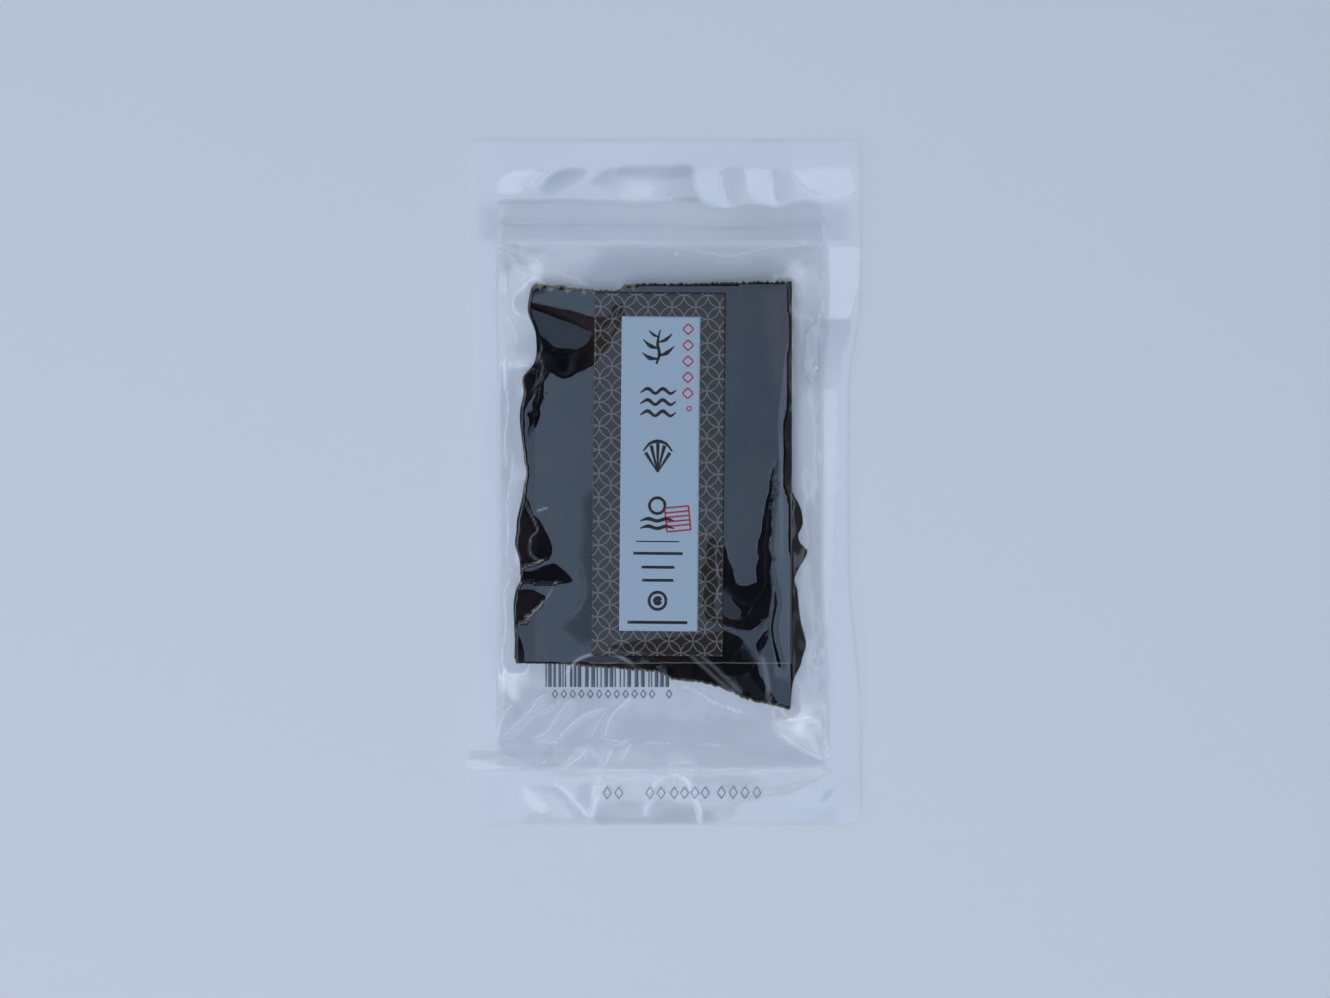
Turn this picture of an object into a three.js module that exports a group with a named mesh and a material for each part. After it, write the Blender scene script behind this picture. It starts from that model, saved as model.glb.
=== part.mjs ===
// A clear press-to-close pouch of dried kelp sheets, lying on its back with its label up.
//
// Units are millimetres. +X is to the right of the pouch, +Y runs to its header and +Z is up.
// The origin is the middle of the pouch, on the surface that it rests on.
//
// The pouch is one solid out to its film: a flat welded border, a slope up to the stack of
// kelp sheets inside, a header with the press-to-close strip, and a wide seal at the foot.
// The label is a thin printed film that lies on the front face.

import * as THREE from 'three';
import { mergeVertices } from 'three/addons/utils/BufferGeometryUtils.js';

// Pouch, as it lies filled
const POUCH_WIDTH = 107;
const POUCH_LENGTH = 186;
const WELD_THICKNESS = 0.5;
const CORNER_RADIUS = 4;
const SIDE_SEAL = 8;
const FOOT_SEAL = 15;
const HEAD_SEAL = 5;

// A full pouch pulls its long edges in between its corners
const PULL = { left: 1.1, right: 3.3, foot: -66, footRun: 45, top: 52, topRun: 28 };

// Stack of kelp sheets inside, and the rear sheet that reaches further down at the right
const STACK = { left: -38.5, right: 35.5, foot: -49, top: 53.5, height: 6 };
const TAIL = { left: 2, right: 35.5, foot: -60, top: -40, height: 4 };

// The stack isn't quite flat: it swells in slow waves that run a little askew
const SWELL = { height: 0.2, length: 62, skew: 0.4 };

// Press-to-close strip across the header, with three ribs
const STRIP_CENTRE = 71;
const STRIP_WIDTH = 11.4;
const RIBS = [
  { offset: -4.6, height: 0.35 },
  { offset: 0, height: 0.9 },
  { offset: 4.6, height: 0.35 },
];
const RIB_WIDTH = 2.2;
const RIB_END = 1;
const RIB_BACK_SHARE = 0.4;

// Air between the films of the header, in cells side by side
const AIR = { height: 0.8, lowRun: 4, highRun: 5, sideRun: 6, cells: 0.35, cellLength: 34.6 };
const AIR_BACK_SHARE = 0.3;

// How far the welded edges lift off the surface, and how they wave along the pouch and across it
const LIFT = { side: 1.0, head: 0.7, foot: 1.0, power: 1.5 };
const EDGE_WAVE = { height: 0.3, along: 56.5, across: 50.3, shift: 8 };

// Front label
const LABEL_WIDTH = 35.2;
const LABEL_LENGTH = 97.6;
const LABEL_THICKNESS = 0.3;
const LABEL_GAP = 0.3;
const LABEL_CENTRE = { x: -1.6, y: 2.2 };
const LABEL_TURN = THREE.MathUtils.degToRad(-0.5);
const LABEL_STEPS = { across: 8, along: 22 };

// Edges of the space inside the welds
const INNER = {
  left: -POUCH_WIDTH / 2 + SIDE_SEAL,
  right: POUCH_WIDTH / 2 - SIDE_SEAL,
  foot: -POUCH_LENGTH / 2 + FOOT_SEAL,
  top: STRIP_CENTRE - STRIP_WIDTH / 2,
};
const STRIP_TOP = STRIP_CENTRE + STRIP_WIDTH / 2;
const HEAD_EDGE = POUCH_LENGTH / 2 - HEAD_SEAL;

const smooth = (low, high, value) => THREE.MathUtils.smoothstep(value, low, high);
const bell = (distance, width) => Math.exp(-((distance / width) ** 2));
const wave = (distance, length) => Math.sin((2 * Math.PI * distance) / length);

// 1 between the side welds, and 0 past them, with a run of the given length inside each
const betweenWelds = (x, run) =>
  smooth(INNER.left, INNER.left + run, x) * (1 - smooth(INNER.right - run, INNER.right, x));

// 1 over the block, 0 at the welds, and a straight slope between, rounded at the corners
function slopeShare(x, y, block) {
  const across = x < block.left
    ? (block.left - x) / (block.left - INNER.left)
    : Math.max(0, x - block.right) / (INNER.right - block.right);
  const along = y < block.foot
    ? (block.foot - y) / (block.foot - INNER.foot)
    : Math.max(0, y - block.top) / (INNER.top - block.top);
  return Math.max(0, 1 - Math.hypot(across, along));
}

// Height of the film over what is inside, above the welded plane
function filling(x, y) {
  const stackHeight = STACK.height + SWELL.height * wave(y + SWELL.skew * x, SWELL.length);
  return Math.max(stackHeight * slopeShare(x, y, STACK), TAIL.height * slopeShare(x, y, TAIL));
}

// Ribs of the press-to-close strip, which stop at the side welds
function ribs(x, y) {
  let height = 0;
  for (const rib of RIBS) {
    height += rib.height * bell(y - STRIP_CENTRE - rib.offset, RIB_WIDTH / 2);
  }
  return height * betweenWelds(x, RIB_END);
}

// Air held between the two films of the header, above the strip
function headerAir(x, y) {
  const low = smooth(STRIP_TOP, STRIP_TOP + AIR.lowRun, y);
  const high = 1 - smooth(HEAD_EDGE - AIR.highRun, HEAD_EDGE, y);
  const cells = 1 - AIR.cells + AIR.cells * wave(x, AIR.cellLength);
  return AIR.height * low * high * cells * betweenWelds(x, AIR.sideRun);
}

// Height of the welded plane: it lifts at the long edges, the head and the foot
function weldPlane(x, y) {
  const side = Math.max(0, Math.abs(x) - STACK.right) / (POUCH_WIDTH / 2 - STACK.right);
  const head = Math.max(0, y - INNER.top) / (POUCH_LENGTH / 2 - INNER.top);
  const foot = Math.max(0, TAIL.foot - y) / (TAIL.foot + POUCH_LENGTH / 2);
  const ends = LIFT.head * head ** LIFT.power + LIFT.foot * foot ** LIFT.power;
  const sideWave = wave(y, EDGE_WAVE.along) * side;
  const endWave = wave(x + EDGE_WAVE.shift, EDGE_WAVE.across) * Math.max(head, foot);
  return Math.max(0, LIFT.side * side + ends + EDGE_WAVE.height * (sideWave + endWave));
}

// Under the stack the back film lies flat on the surface
function backHeight(x, y) {
  return Math.max(0, weldPlane(x, y) - RIB_BACK_SHARE * ribs(x, y) - AIR_BACK_SHARE * headerAir(x, y));
}

function frontHeight(x, y) {
  const relief = (1 - RIB_BACK_SHARE) * ribs(x, y) + (1 - AIR_BACK_SHARE) * headerAir(x, y);
  return weldPlane(x, y) + WELD_THICKNESS + filling(x, y) + relief;
}

// Outline of the pouch: rounded corners, and long edges pulled in along the stack
function outline(x, y) {
  const fromFoot = smooth(PULL.foot, PULL.foot + PULL.footRun, y);
  const pulled = fromFoot * (1 - smooth(PULL.top - PULL.topRun, PULL.top, y));
  const pull = (x > 0 ? PULL.right : PULL.left) * pulled;
  const share = smooth(0, POUCH_WIDTH / 2, Math.abs(x));
  const past = Math.max(0, Math.abs(y) - (POUCH_LENGTH / 2 - CORNER_RADIUS));
  const cut = CORNER_RADIUS - Math.sqrt(Math.max(0, CORNER_RADIUS ** 2 - past ** 2));
  const border = Math.max(0, Math.abs(x) - INNER.right) / SIDE_SEAL;
  return x - Math.sign(x) * (pull * share + cut * border);
}

// Spreads the even stations of a subdivided box over a list of edges, n steps between each two
function spread(value, size, edges, steps) {
  const total = steps.reduce((a, b) => a + b, 0);
  let at = Math.round((value / size + 0.5) * total);
  let i = 0;
  while (i < steps.length - 1 && at > steps[i]) {
    at -= steps[i];
    i += 1;
  }
  return THREE.MathUtils.lerp(edges[i], edges[i + 1], at / steps[i]);
}

// A subdivided box with its shared vertices merged, each moved by the function place
function formed(width, length, across, along, place) {
  const box = new THREE.BoxGeometry(width, length, 1, across, along, 1);
  box.deleteAttribute('normal');
  box.deleteAttribute('uv');
  const geometry = mergeVertices(box);
  const position = geometry.getAttribute('position');
  for (let i = 0; i < position.count; i += 1) {
    const [x, y, z] = place(position.getX(i), position.getY(i), position.getZ(i) > 0);
    position.setXYZ(i, x, y, z);
  }
  geometry.computeVertexNormals();
  return geometry;
}

function pouch() {
  const halfWidth = POUCH_WIDTH / 2;
  const halfLength = POUCH_LENGTH / 2;
  const columns = [-halfWidth, INNER.left, STACK.left, STACK.right, INNER.right, halfWidth];
  const columnSteps = [3, 4, 12, 4, 3];
  const rows = [
    -halfLength, -halfLength + CORNER_RADIUS, INNER.foot, TAIL.foot, STACK.foot, STACK.top, INNER.top,
    STRIP_CENTRE - RIB_WIDTH / 2, STRIP_CENTRE + RIB_WIDTH / 2, STRIP_TOP, HEAD_EDGE - 1,
    halfLength - CORNER_RADIUS, halfLength,
  ];
  const rowSteps = [3, 3, 5, 3, 17, 4, 3, 2, 3, 3, 1, 3];
  const across = columnSteps.reduce((a, b) => a + b, 0);
  const along = rowSteps.reduce((a, b) => a + b, 0);
  const geometry = formed(POUCH_WIDTH, POUCH_LENGTH, across, along, (boxX, boxY, front) => {
    const x = spread(boxX, POUCH_WIDTH, columns, columnSteps);
    const y = spread(boxY, POUCH_LENGTH, rows, rowSteps);
    return [outline(x, y), y, front ? frontHeight(x, y) : backHeight(x, y)];
  });
  const material = new THREE.MeshStandardMaterial({
    color: 0xb9c4d6, roughness: 0.12, metalness: 0, transparent: true, opacity: 0.6,
  });
  const mesh = new THREE.Mesh(geometry, material);
  mesh.name = 'pouch';
  return mesh;
}

function frontLabel() {
  const { across, along } = LABEL_STEPS;
  const geometry = formed(LABEL_WIDTH, LABEL_LENGTH, across, along, (boxX, boxY, front) => {
    const x = LABEL_CENTRE.x + boxX * Math.cos(LABEL_TURN) - boxY * Math.sin(LABEL_TURN);
    const y = LABEL_CENTRE.y + boxX * Math.sin(LABEL_TURN) + boxY * Math.cos(LABEL_TURN);
    return [x, y, frontHeight(x, y) + LABEL_GAP + (front ? LABEL_THICKNESS : 0)];
  });
  const material = new THREE.MeshStandardMaterial({ color: 0x4a453d, roughness: 0.35, metalness: 0 });
  const mesh = new THREE.Mesh(geometry, material);
  mesh.name = 'front_label';
  return mesh;
}

const part = new THREE.Group();
part.add(pouch(), frontLabel());

export default part;
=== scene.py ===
# %% [markdown]
# # A clear pouch of dried kelp sheets
#
# The object is a flat press-to-close pouch of clear laminated film. It lies on its back, and
# three cut sheets of dried kelp are stacked inside it. What the eye sees is mostly the film:
# it is almost invisible where it lies flat, and it shows by what it mirrors where it folds.
# So this lesson spends most of its work on the shape of one thin film.

# %% Tools
import math

import bpy
import numpy as np
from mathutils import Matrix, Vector


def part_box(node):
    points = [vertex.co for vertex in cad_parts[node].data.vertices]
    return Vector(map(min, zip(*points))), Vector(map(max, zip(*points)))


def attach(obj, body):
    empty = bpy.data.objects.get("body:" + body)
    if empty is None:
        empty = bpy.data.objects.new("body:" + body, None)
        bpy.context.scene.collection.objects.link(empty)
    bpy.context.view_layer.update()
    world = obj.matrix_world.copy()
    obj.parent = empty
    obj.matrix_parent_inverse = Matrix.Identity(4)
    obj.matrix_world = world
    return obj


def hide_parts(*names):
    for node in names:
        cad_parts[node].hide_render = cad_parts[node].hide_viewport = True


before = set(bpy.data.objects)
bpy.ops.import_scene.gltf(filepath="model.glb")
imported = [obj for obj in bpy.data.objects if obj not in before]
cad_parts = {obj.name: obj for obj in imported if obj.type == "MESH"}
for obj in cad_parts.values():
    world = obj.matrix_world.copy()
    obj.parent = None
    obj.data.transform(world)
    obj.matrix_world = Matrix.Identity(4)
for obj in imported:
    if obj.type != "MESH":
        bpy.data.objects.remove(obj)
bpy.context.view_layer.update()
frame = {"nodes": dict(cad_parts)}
MM = 0.001

# The pouch lies with its middle at the origin, so its highest corner gives half its size
pouch_high = np.array(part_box("pouch")[1]) / MM
HALF_WIDTH = float(pouch_high[0])
HALF_LENGTH = float(pouch_high[1])
print("CAD nodes:", ", ".join(frame["nodes"]))
print(f"pouch {2 * HALF_WIDTH:.1f} x {2 * HALF_LENGTH:.1f} x {pouch_high[2]:.1f} mm")

# %% [markdown]
# ## Camera
#
# A pack shot from straight above has almost no perspective, so a 50 mm lens half a metre up is
# enough. The view's width on the table sets the height, and everything else follows from it.

# %% Camera
LENS = 50
SENSOR = 36
VIEW_WIDTH = 361.4
VIEW_CENTRE = (0.1, -4.5)

camera_data = bpy.data.cameras.new("camera")
camera_data.lens = LENS
camera_data.sensor_width = SENSOR
camera = bpy.data.objects.new("camera", camera_data)
camera_height = VIEW_WIDTH * LENS / SENSOR
camera.location = (VIEW_CENTRE[0] * MM, VIEW_CENTRE[1] * MM, camera_height * MM)
bpy.context.collection.objects.link(camera)
bpy.context.scene.camera = camera
print(f"camera {camera_height:.0f} mm above the table")

# %% [markdown]
# ## Helpers for materials
#
# Colours are chosen as sRGB hex values, as in any paint program, but shaders work in linear
# light, so one function turns one into the other. A second one adds a node, sets it up and
# links its inputs, which keeps each material down to a few readable lines.

# %% Material helpers
def linear(hex_colour):
    """The linear colour of an sRGB hex value, with full alpha."""
    channels = [int(hex_colour[i : i + 2], 16) / 255 for i in (1, 3, 5)]
    return tuple(c / 12.92 if c <= 0.04045 else ((c + 0.055) / 1.055) ** 2.4 for c in channels) + (1,)


def add(tree, kind, inputs=None, **settings):
    """Adds a node. Inputs are numbers, colours or other nodes' outputs, by socket name or place."""
    node = tree.nodes.new(kind)
    for name, value in settings.items():
        setattr(node, name, value)
    for key, value in (inputs or {}).items():
        if isinstance(value, bpy.types.NodeSocket):
            tree.links.new(value, node.inputs[key])
        else:
            node.inputs[key].default_value = value
    return node


def new_material(name):
    """A material without nodes, and its node tree."""
    made = bpy.data.materials.new(name)
    made.use_nodes = True
    made.node_tree.nodes.clear()
    return made, made.node_tree


def set_stops(ramp, stops):
    """Sets a grey colour ramp from pairs of a place and a level, both 0 to 1."""
    while len(ramp.elements) < len(stops):
        ramp.elements.new(1.0)
    for element, (place, level) in zip(ramp.elements, stops):
        element.position = place
        element.color = (level, level, level, 1)


def finish_material(tree, shader):
    """Links the shader to the material's output."""
    add(tree, "ShaderNodeOutputMaterial", {"Surface": shader.outputs[0]})


# %% [markdown]
# ## Light and table
#
# Clear film shows what stands around it. Straight above the pack hangs one soft panel, which
# flat film mirrors as a veil. Round it the room is dark, so film that tilts by a few degrees
# loses the veil and lets the kelp show. Further down stand five lamps, at the four corners and
# at the left, and a thin bright rail runs round the walls. Every crease that is steep enough
# mirrors them as white lines. The table gets most of its light from a fill lamp that the film
# doesn't mirror.

# %% Studio walls
WALL_LIGHT = linear("#dfe9fb")
WALL_BRIGHTEST = 3.0
# The share of it that is left on the right, and the span from left to right over which it falls
WALL_RIGHT = 0.45
WALL_FALL = (-0.3, 0.5)
# Sine of the height above the table, and the share of the brightest level there
WALL_STOPS = [
    (0.0, 0.14), (0.38, 0.16), (0.41, 0.8), (0.46, 0.8), (0.49, 0.15), (0.76, 0.13), (0.85, 0.008),
    (1.0, 0.008),
]

world = bpy.data.worlds.new("studio")
bpy.context.scene.world = world
world.use_nodes = True
world.node_tree.nodes.clear()
sky = world.node_tree
direction = add(sky, "ShaderNodeTexCoord").outputs["Generated"]
toward = add(sky, "ShaderNodeSeparateXYZ", {0: direction})
walls = add(sky, "ShaderNodeValToRGB", {"Fac": toward.outputs["Z"]})
set_stops(walls.color_ramp, WALL_STOPS)
side = add(
    sky,
    "ShaderNodeMapRange",
    {
        "Value": toward.outputs["X"],
        "From Min": WALL_FALL[0],
        "From Max": WALL_FALL[1],
        "To Min": WALL_BRIGHTEST,
        "To Max": WALL_BRIGHTEST * WALL_RIGHT,
    },
)
brightness = add(sky, "ShaderNodeMath", {0: walls.outputs["Color"], 1: side.outputs[0]}, operation="MULTIPLY")
background = add(sky, "ShaderNodeBackground", {"Color": WALL_LIGHT, "Strength": brightness.outputs[0]})
add(sky, "ShaderNodeOutputWorld", {"Surface": background.outputs[0]})
print(f"walls up to {WALL_BRIGHTEST} on the left, {WALL_BRIGHTEST * WALL_RIGHT:.2f} on the right")


# %% Lamp helpers
def area_lamp(name, place, size, radiance, colour):
    """A rectangular lamp that faces the pack. Its place and size are in millimetres, and the
    radiance of its face in W/m2/sr."""
    lamp_data = bpy.data.lights.new(name, "AREA")
    lamp_data.shape = "RECTANGLE"
    lamp_data.size, lamp_data.size_y = size[0] * MM, size[1] * MM
    lamp_data.energy = radiance * math.pi * lamp_data.size * lamp_data.size_y
    lamp_data.color = colour
    lamp = bpy.data.objects.new(name, lamp_data)
    target = np.array([0, VIEW_CENTRE[1], 0])
    away = Vector((np.array(place) - target).tolist())
    lamp.location = [v * MM for v in place]
    lamp.rotation_euler = away.to_track_quat("Z", "Y").to_euler()
    lamp.visible_camera = False
    bpy.context.collection.objects.link(lamp)
    return lamp


def shape_glow(lamp, across_stops, along_stops, brightest):
    """Makes the face of a lamp uneven, across and along it."""
    lamp.data.use_nodes = True
    glow = lamp.data.node_tree
    place = add(glow, "ShaderNodeNewGeometry").outputs["Parametric"]
    place = add(glow, "ShaderNodeSeparateXYZ", {0: place})
    across = add(glow, "ShaderNodeValToRGB", {"Fac": place.outputs["X"]})
    along = add(glow, "ShaderNodeValToRGB", {"Fac": place.outputs["Y"]})
    set_stops(across.color_ramp, across_stops)
    set_stops(along.color_ramp, along_stops)
    shares = {0: across.outputs["Color"], 1: along.outputs["Color"]}
    both = add(glow, "ShaderNodeMath", shares, operation="MULTIPLY")
    strength = add(glow, "ShaderNodeMath", {0: both.outputs[0], 1: brightest}, operation="MULTIPLY")
    glow.links.new(strength.outputs[0], glow.nodes["Emission"].inputs["Strength"])


# %% Overhead panel and fill lamp
PANEL = {
    "place": (0, VIEW_CENTRE[1], 1500),
    "size": (640, 760),
    "radiance": 0.845,
    "colour": (0.70, 0.95, 1.38),
}
FILL = {"place": (-260, -560, 1600), "size": (1200, 1200), "radiance": 2.86, "colour": (0.885, 1.01, 1.26)}
# From its right end to its left, the panel is bright, then dimmest, then brighter again
PANEL_STOPS = [(0.0, 1.0), (0.19, 0.97), (0.24, 0.58), (0.36, 0.58), (0.5, 0.68), (0.68, 0.77), (1.0, 0.79)]
PANEL_GLOW = 1.45
EVEN = [(0.0, 1.0), (1.0, 1.0)]

panel = area_lamp("overhead_panel", **PANEL)
shape_glow(panel, PANEL_STOPS, EVEN, PANEL_GLOW)
fill = area_lamp("fill_lamp", **FILL)
fill.visible_glossy = False
print(f"panel {PANEL['place'][2]} mm and fill lamp {FILL['place'][2]} mm above the table")

# %% Lamps for the creases
# Direction in degrees, from the right and turning to the header, and radiance
LAMPS_ROUND = [(40, 1.6), (140, 1.9), (180, 1.5), (220, 2.4), (320, 2.4)]
LAMP_SIZE = (1300, 900)
LAMP_COLOUR = (0.94, 0.98, 1.06)
LAMP_DISTANCE = 1300
LAMP_TILT = math.radians(57)
LAMP_GLOW = 1.25
SOFT_EDGE = [(0.0, 0.0), (0.4, 0.8), (0.5, 1.0), (0.6, 0.8), (1.0, 0.0)]

for turn, radiance in LAMPS_ROUND:
    turn = math.radians(turn)
    out = LAMP_DISTANCE * math.sin(LAMP_TILT)
    place = (out * math.cos(turn), out * math.sin(turn), LAMP_DISTANCE * math.cos(LAMP_TILT))
    crease_lamp = area_lamp("crease_lamp", place, LAMP_SIZE, radiance, LAMP_COLOUR)
    crease_lamp.visible_diffuse = False
    shape_glow(crease_lamp, SOFT_EDGE, SOFT_EDGE, LAMP_GLOW)
print(f"{len(LAMPS_ROUND)} lamps for the creases")

# %% Table
TABLE_SIZE = 6000
table_top, tree = new_material("matt white laminate")
laminate = add(tree, "ShaderNodeBsdfPrincipled", {"Base Color": linear("#e6e6e6"), "Roughness": 0.7})
finish_material(tree, laminate)
bpy.ops.mesh.primitive_plane_add(size=TABLE_SIZE * MM)
table = bpy.context.object
table.name = "table"
table.data.materials.append(table_top)
print(f"table {TABLE_SIZE / 1000:.0f} m wide")

# %% [markdown]
# ## The film's outline and welds
#
# The pouch is two films welded together at the sides, the foot and the head. A full pouch pulls
# its long edges in, so the outline isn't a plain rectangle. Everything here is a function of x
# and y in millimetres, because the same functions shape the film, the label and the kelp.
# +X is to the right of the label and +Y runs to the header. Where a value changes from one
# place to another, `smooth` does it, and its first two numbers say where the change starts and
# where it ends.

# %% Sizes of the pouch
LEFT_SEAL = 8.3
RIGHT_SEAL = 9.3
FOOT_SEAL = 15.5
CORNER_RADIUS = 4
FILM = 0.10
WELD_GAP = 0.02
STACK_HEIGHT = 6.2

STRIP_CENTRE = 71
STRIP_WIDTH = 11.4
STRIP_TOP = STRIP_CENTRE + STRIP_WIDTH / 2

# Where the inside of the pouch ends
INNER = {
    "left": -HALF_WIDTH + LEFT_SEAL,
    "right": HALF_WIDTH - RIGHT_SEAL,
    "foot": -HALF_LENGTH + FOOT_SEAL,
    "top": STRIP_CENTRE - STRIP_WIDTH / 2,
}
print({edge: round(place, 1) for edge, place in INNER.items()})

# %% Weld plane
# The borders lift off the table: how far, and how far from the middle that starts
SIDE_LIFT = 1.0
HEAD_LIFT = 0.6
FOOT_LIFT = 1.0
LIFT_START = 34.6
# The foot seal bends up along this line, over this distance, and less at its right
FOOT_BEND = [(-30, -70.4), (10, -72), (25, -74), (40, -76.4)]
FOOT_BEND_RUN = 6.4
FOOT_RIGHT_SHARE = 0.35
# The lifted edges wave: height, and millimetres for each radian along the pouch and across it
EDGE_WAVE = 0.3
WAVE_ALONG = 9
WAVE_ACROSS = 8


def smooth(low, high, value):
    """0 at low and before, 1 at high and past it, with a smooth rise between."""
    t = np.clip((value - low) / (high - low), 0, 1)
    return t * t * (3 - 2 * t)


def weld_plane(x, y):
    """Height of the welded borders, which lift off the table at the long edges, head and foot."""
    side = np.maximum(0, np.abs(x) - LIFT_START) / (HALF_WIDTH - LIFT_START)
    head = np.maximum(0, y - STRIP_TOP) / (HALF_LENGTH - STRIP_TOP)
    bend = np.interp(x, *np.array(FOOT_BEND).T)
    foot = smooth(bend, bend - FOOT_BEND_RUN, y)
    foot *= FOOT_RIGHT_SHARE + (1 - FOOT_RIGHT_SHARE) * smooth(30, -25, x)
    wave = EDGE_WAVE * (np.sin(y / WAVE_ALONG) * side + np.sin(x / WAVE_ACROSS + 1) * head)
    return np.maximum(0, SIDE_LIFT * side + HEAD_LIFT * head + FOOT_LIFT * foot + wave)


# %% Outline
# The long edges are pulled in between the foot and the top, each over its own run
PULL = {"left": 1.0, "right": 3.3, "foot": -66, "foot_run": 45, "top": 52, "top_run": 28}
# Film nearer to the middle than this stays where it is
PULL_START = 36
CORNER_START = HALF_WIDTH - 6


def outline(x, y):
    """Pulls the long edges in and rounds the corners. The middle of the pouch keeps its x."""
    pulled = smooth(PULL["foot"], PULL["foot"] + PULL["foot_run"], y)
    pulled *= 1 - smooth(PULL["top"] - PULL["top_run"], PULL["top"], y)
    pull = np.where(x > 0, PULL["right"], PULL["left"]) * pulled
    share = smooth(PULL_START, HALF_WIDTH, np.abs(x))
    past = np.maximum(0, np.abs(y) - (HALF_LENGTH - CORNER_RADIUS))
    cut = CORNER_RADIUS - np.sqrt(np.maximum(0, CORNER_RADIUS**2 - past**2))
    border = smooth(CORNER_START, HALF_WIDTH, np.abs(x))
    return x - np.sign(x) * (pull * share + cut * border)


# %% [markdown]
# ## Grid
#
# The film is one grid of points, half a millimetre apart. That is fine enough for folds and
# creases, and a thin line that a crease draws is two points wide. All maps of the film below,
# such as heights, painted shade and painted highlight, are arrays with one value for each point.

# %% Grid of the film
COLUMNS = 217
ROWS = 373
STEP_X = 2 * HALF_WIDTH / (COLUMNS - 1)
STEP_Y = 2 * HALF_LENGTH / (ROWS - 1)
grid_x, grid_y = np.meshgrid(
    np.linspace(-HALF_WIDTH, HALF_WIDTH, COLUMNS), np.linspace(-HALF_LENGTH, HALF_LENGTH, ROWS)
)
print(f"film grid {COLUMNS} x {ROWS}, every {STEP_X:.2f} mm")

# %% [markdown]
# ## Lines and outlines
#
# Edges, folds and creases are all drawn with a few points and a smooth curve through them.
# Three small helpers do the rest: a curve, a test for what lies inside one, and the distance
# to one, with its sign for the side.

# %% Helpers for lines
def inside(points, x, y):
    """True where x, y lies inside the closed outline."""
    hit = np.zeros(x.shape, bool)
    corners = np.array(points, float)
    for (x0, y0), (x1, y1) in zip(corners, np.roll(corners, -1, axis=0)):
        if y0 == y1:
            continue
        hit ^= ((y0 > y) != (y1 > y)) & (x < (x1 - x0) * (y - y0) / (y1 - y0) + x0)
    return hit


def curve(points, steps=6):
    """A smooth line through the points (Catmull-Rom)."""
    p = np.array(points, float)
    p = np.vstack([2 * p[0] - p[1], p, 2 * p[-1] - p[-2]])
    t = np.linspace(0, 1, steps, endpoint=False)[:, None]
    runs = []
    for a, b, c, d in zip(p, p[1:], p[2:], p[3:]):
        runs.append(b + 0.5 * t * (c - a + t * (2 * a - 5 * b + 4 * c - d + t * (3 * b - a - 3 * c + d))))
    return np.vstack([*runs, p[-2:-1]])


def to_line(line, x, y):
    """Signed distance to a line, positive on its left, and the share of its length passed."""
    lengths = np.hypot(*np.diff(line, axis=0).T)
    start = np.concatenate([[0], np.cumsum(lengths)])
    best = np.full(x.shape, 1e9)
    signed = np.zeros(x.shape)
    share = np.zeros(x.shape)
    for i, (a, b) in enumerate(zip(line, line[1:])):
        run = b - a
        t = np.clip(((x - a[0]) * run[0] + (y - a[1]) * run[1]) / (run @ run), 0, 1)
        dx, dy = x - (a[0] + run[0] * t), y - (a[1] + run[1] * t)
        distance = np.hypot(dx, dy)
        nearer = distance < best
        best = np.where(nearer, distance, best)
        side = np.where(run[0] * dy - run[1] * dx >= 0, 1, -1)
        signed = np.where(nearer, side * distance, signed)
        share = np.where(nearer, (start[i] + lengths[i] * t) / start[-1], share)
    return signed, share


def soft_mask(points, soft, x, y):
    """1 inside the closed outline, 0 outside, with a soft edge that is twice soft wide."""
    line = curve(points + points[:1])
    off, _ = to_line(line, x, y)
    return smooth(-soft, soft, np.where(inside(line, x, y), np.abs(off), -np.abs(off)))


def edge_at(points, y):
    """x of an edge that runs down the pouch."""
    line = curve(points)
    order = np.argsort(line[:, 1])
    return np.interp(y, line[order, 1], line[order, 0])


# %% [markdown]
# ## Edges of the kelp
#
# A kelp blade has a natural edge, wavy and frilled, and cut edges where it was chopped to
# length. The left edge of the stack and the rear blade's right edge are natural. The front
# blade is cut straight at its right and foot. All edges are lists of places in millimetres.

# %% Edges of the kelp
LEFT_EDGE = [
    (-36.0, 54.5), (-35.8, 53.4), (-36.9, 48.1), (-36.8, 45.4), (-35.1, 41.2), (-34.7, 38.1), (-34.7, 34.7),
    (-35.6, 31.6), (-38.1, 28.8), (-38.4, 26.8), (-38.1, 23.9), (-39.1, 18), (-38.3, 10), (-37.7, 4.6),
    (-37.3, 2.7), (-38, -1), (-38.4, -4), (-39.9, -10.1), (-40.1, -13.4), (-40.5, -16.8), (-39.3, -20.9),
    (-39, -23.8), (-38.9, -26.5), (-40.1, -28.9), (-40.8, -32.9), (-40.7, -38.3), (-40.4, -42.3),
    (-40.6, -47.9), (-40.6, -49.5),
]
REAR_EDGE = [
    (34.0, 5), (34.2, -1), (34.9, -3.3), (36.2, -5.5), (37.2, -8), (37.5, -11), (37, -12.6), (36.2, -14.5),
    (37, -16.8), (38.6, -18.2), (38.6, -19.3), (37.8, -21.2), (36.5, -23.1), (35.6, -25), (35.1, -26.9),
    (35.9, -29), (36.2, -31.7), (37, -37.7), (38.1, -41.7), (38.3, -44.6), (37.4, -47.4), (36.8, -49.8),
    (35, -53.2), (34.3, -57.3), (34, -62),
]
REAR_FOOT = [
    (-34, -48.8), (-29.5, -49.2), (-17.4, -50.1), (-6.6, -51.1), (-1.2, -51.7), (2.8, -53.8), (6.8, -53.8),
    (14.1, -55.5), (18.9, -57.3), (22.2, -58.7), (26, -59.7), (30.6, -60.7), (34, -61.6), (39, -62),
]
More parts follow.
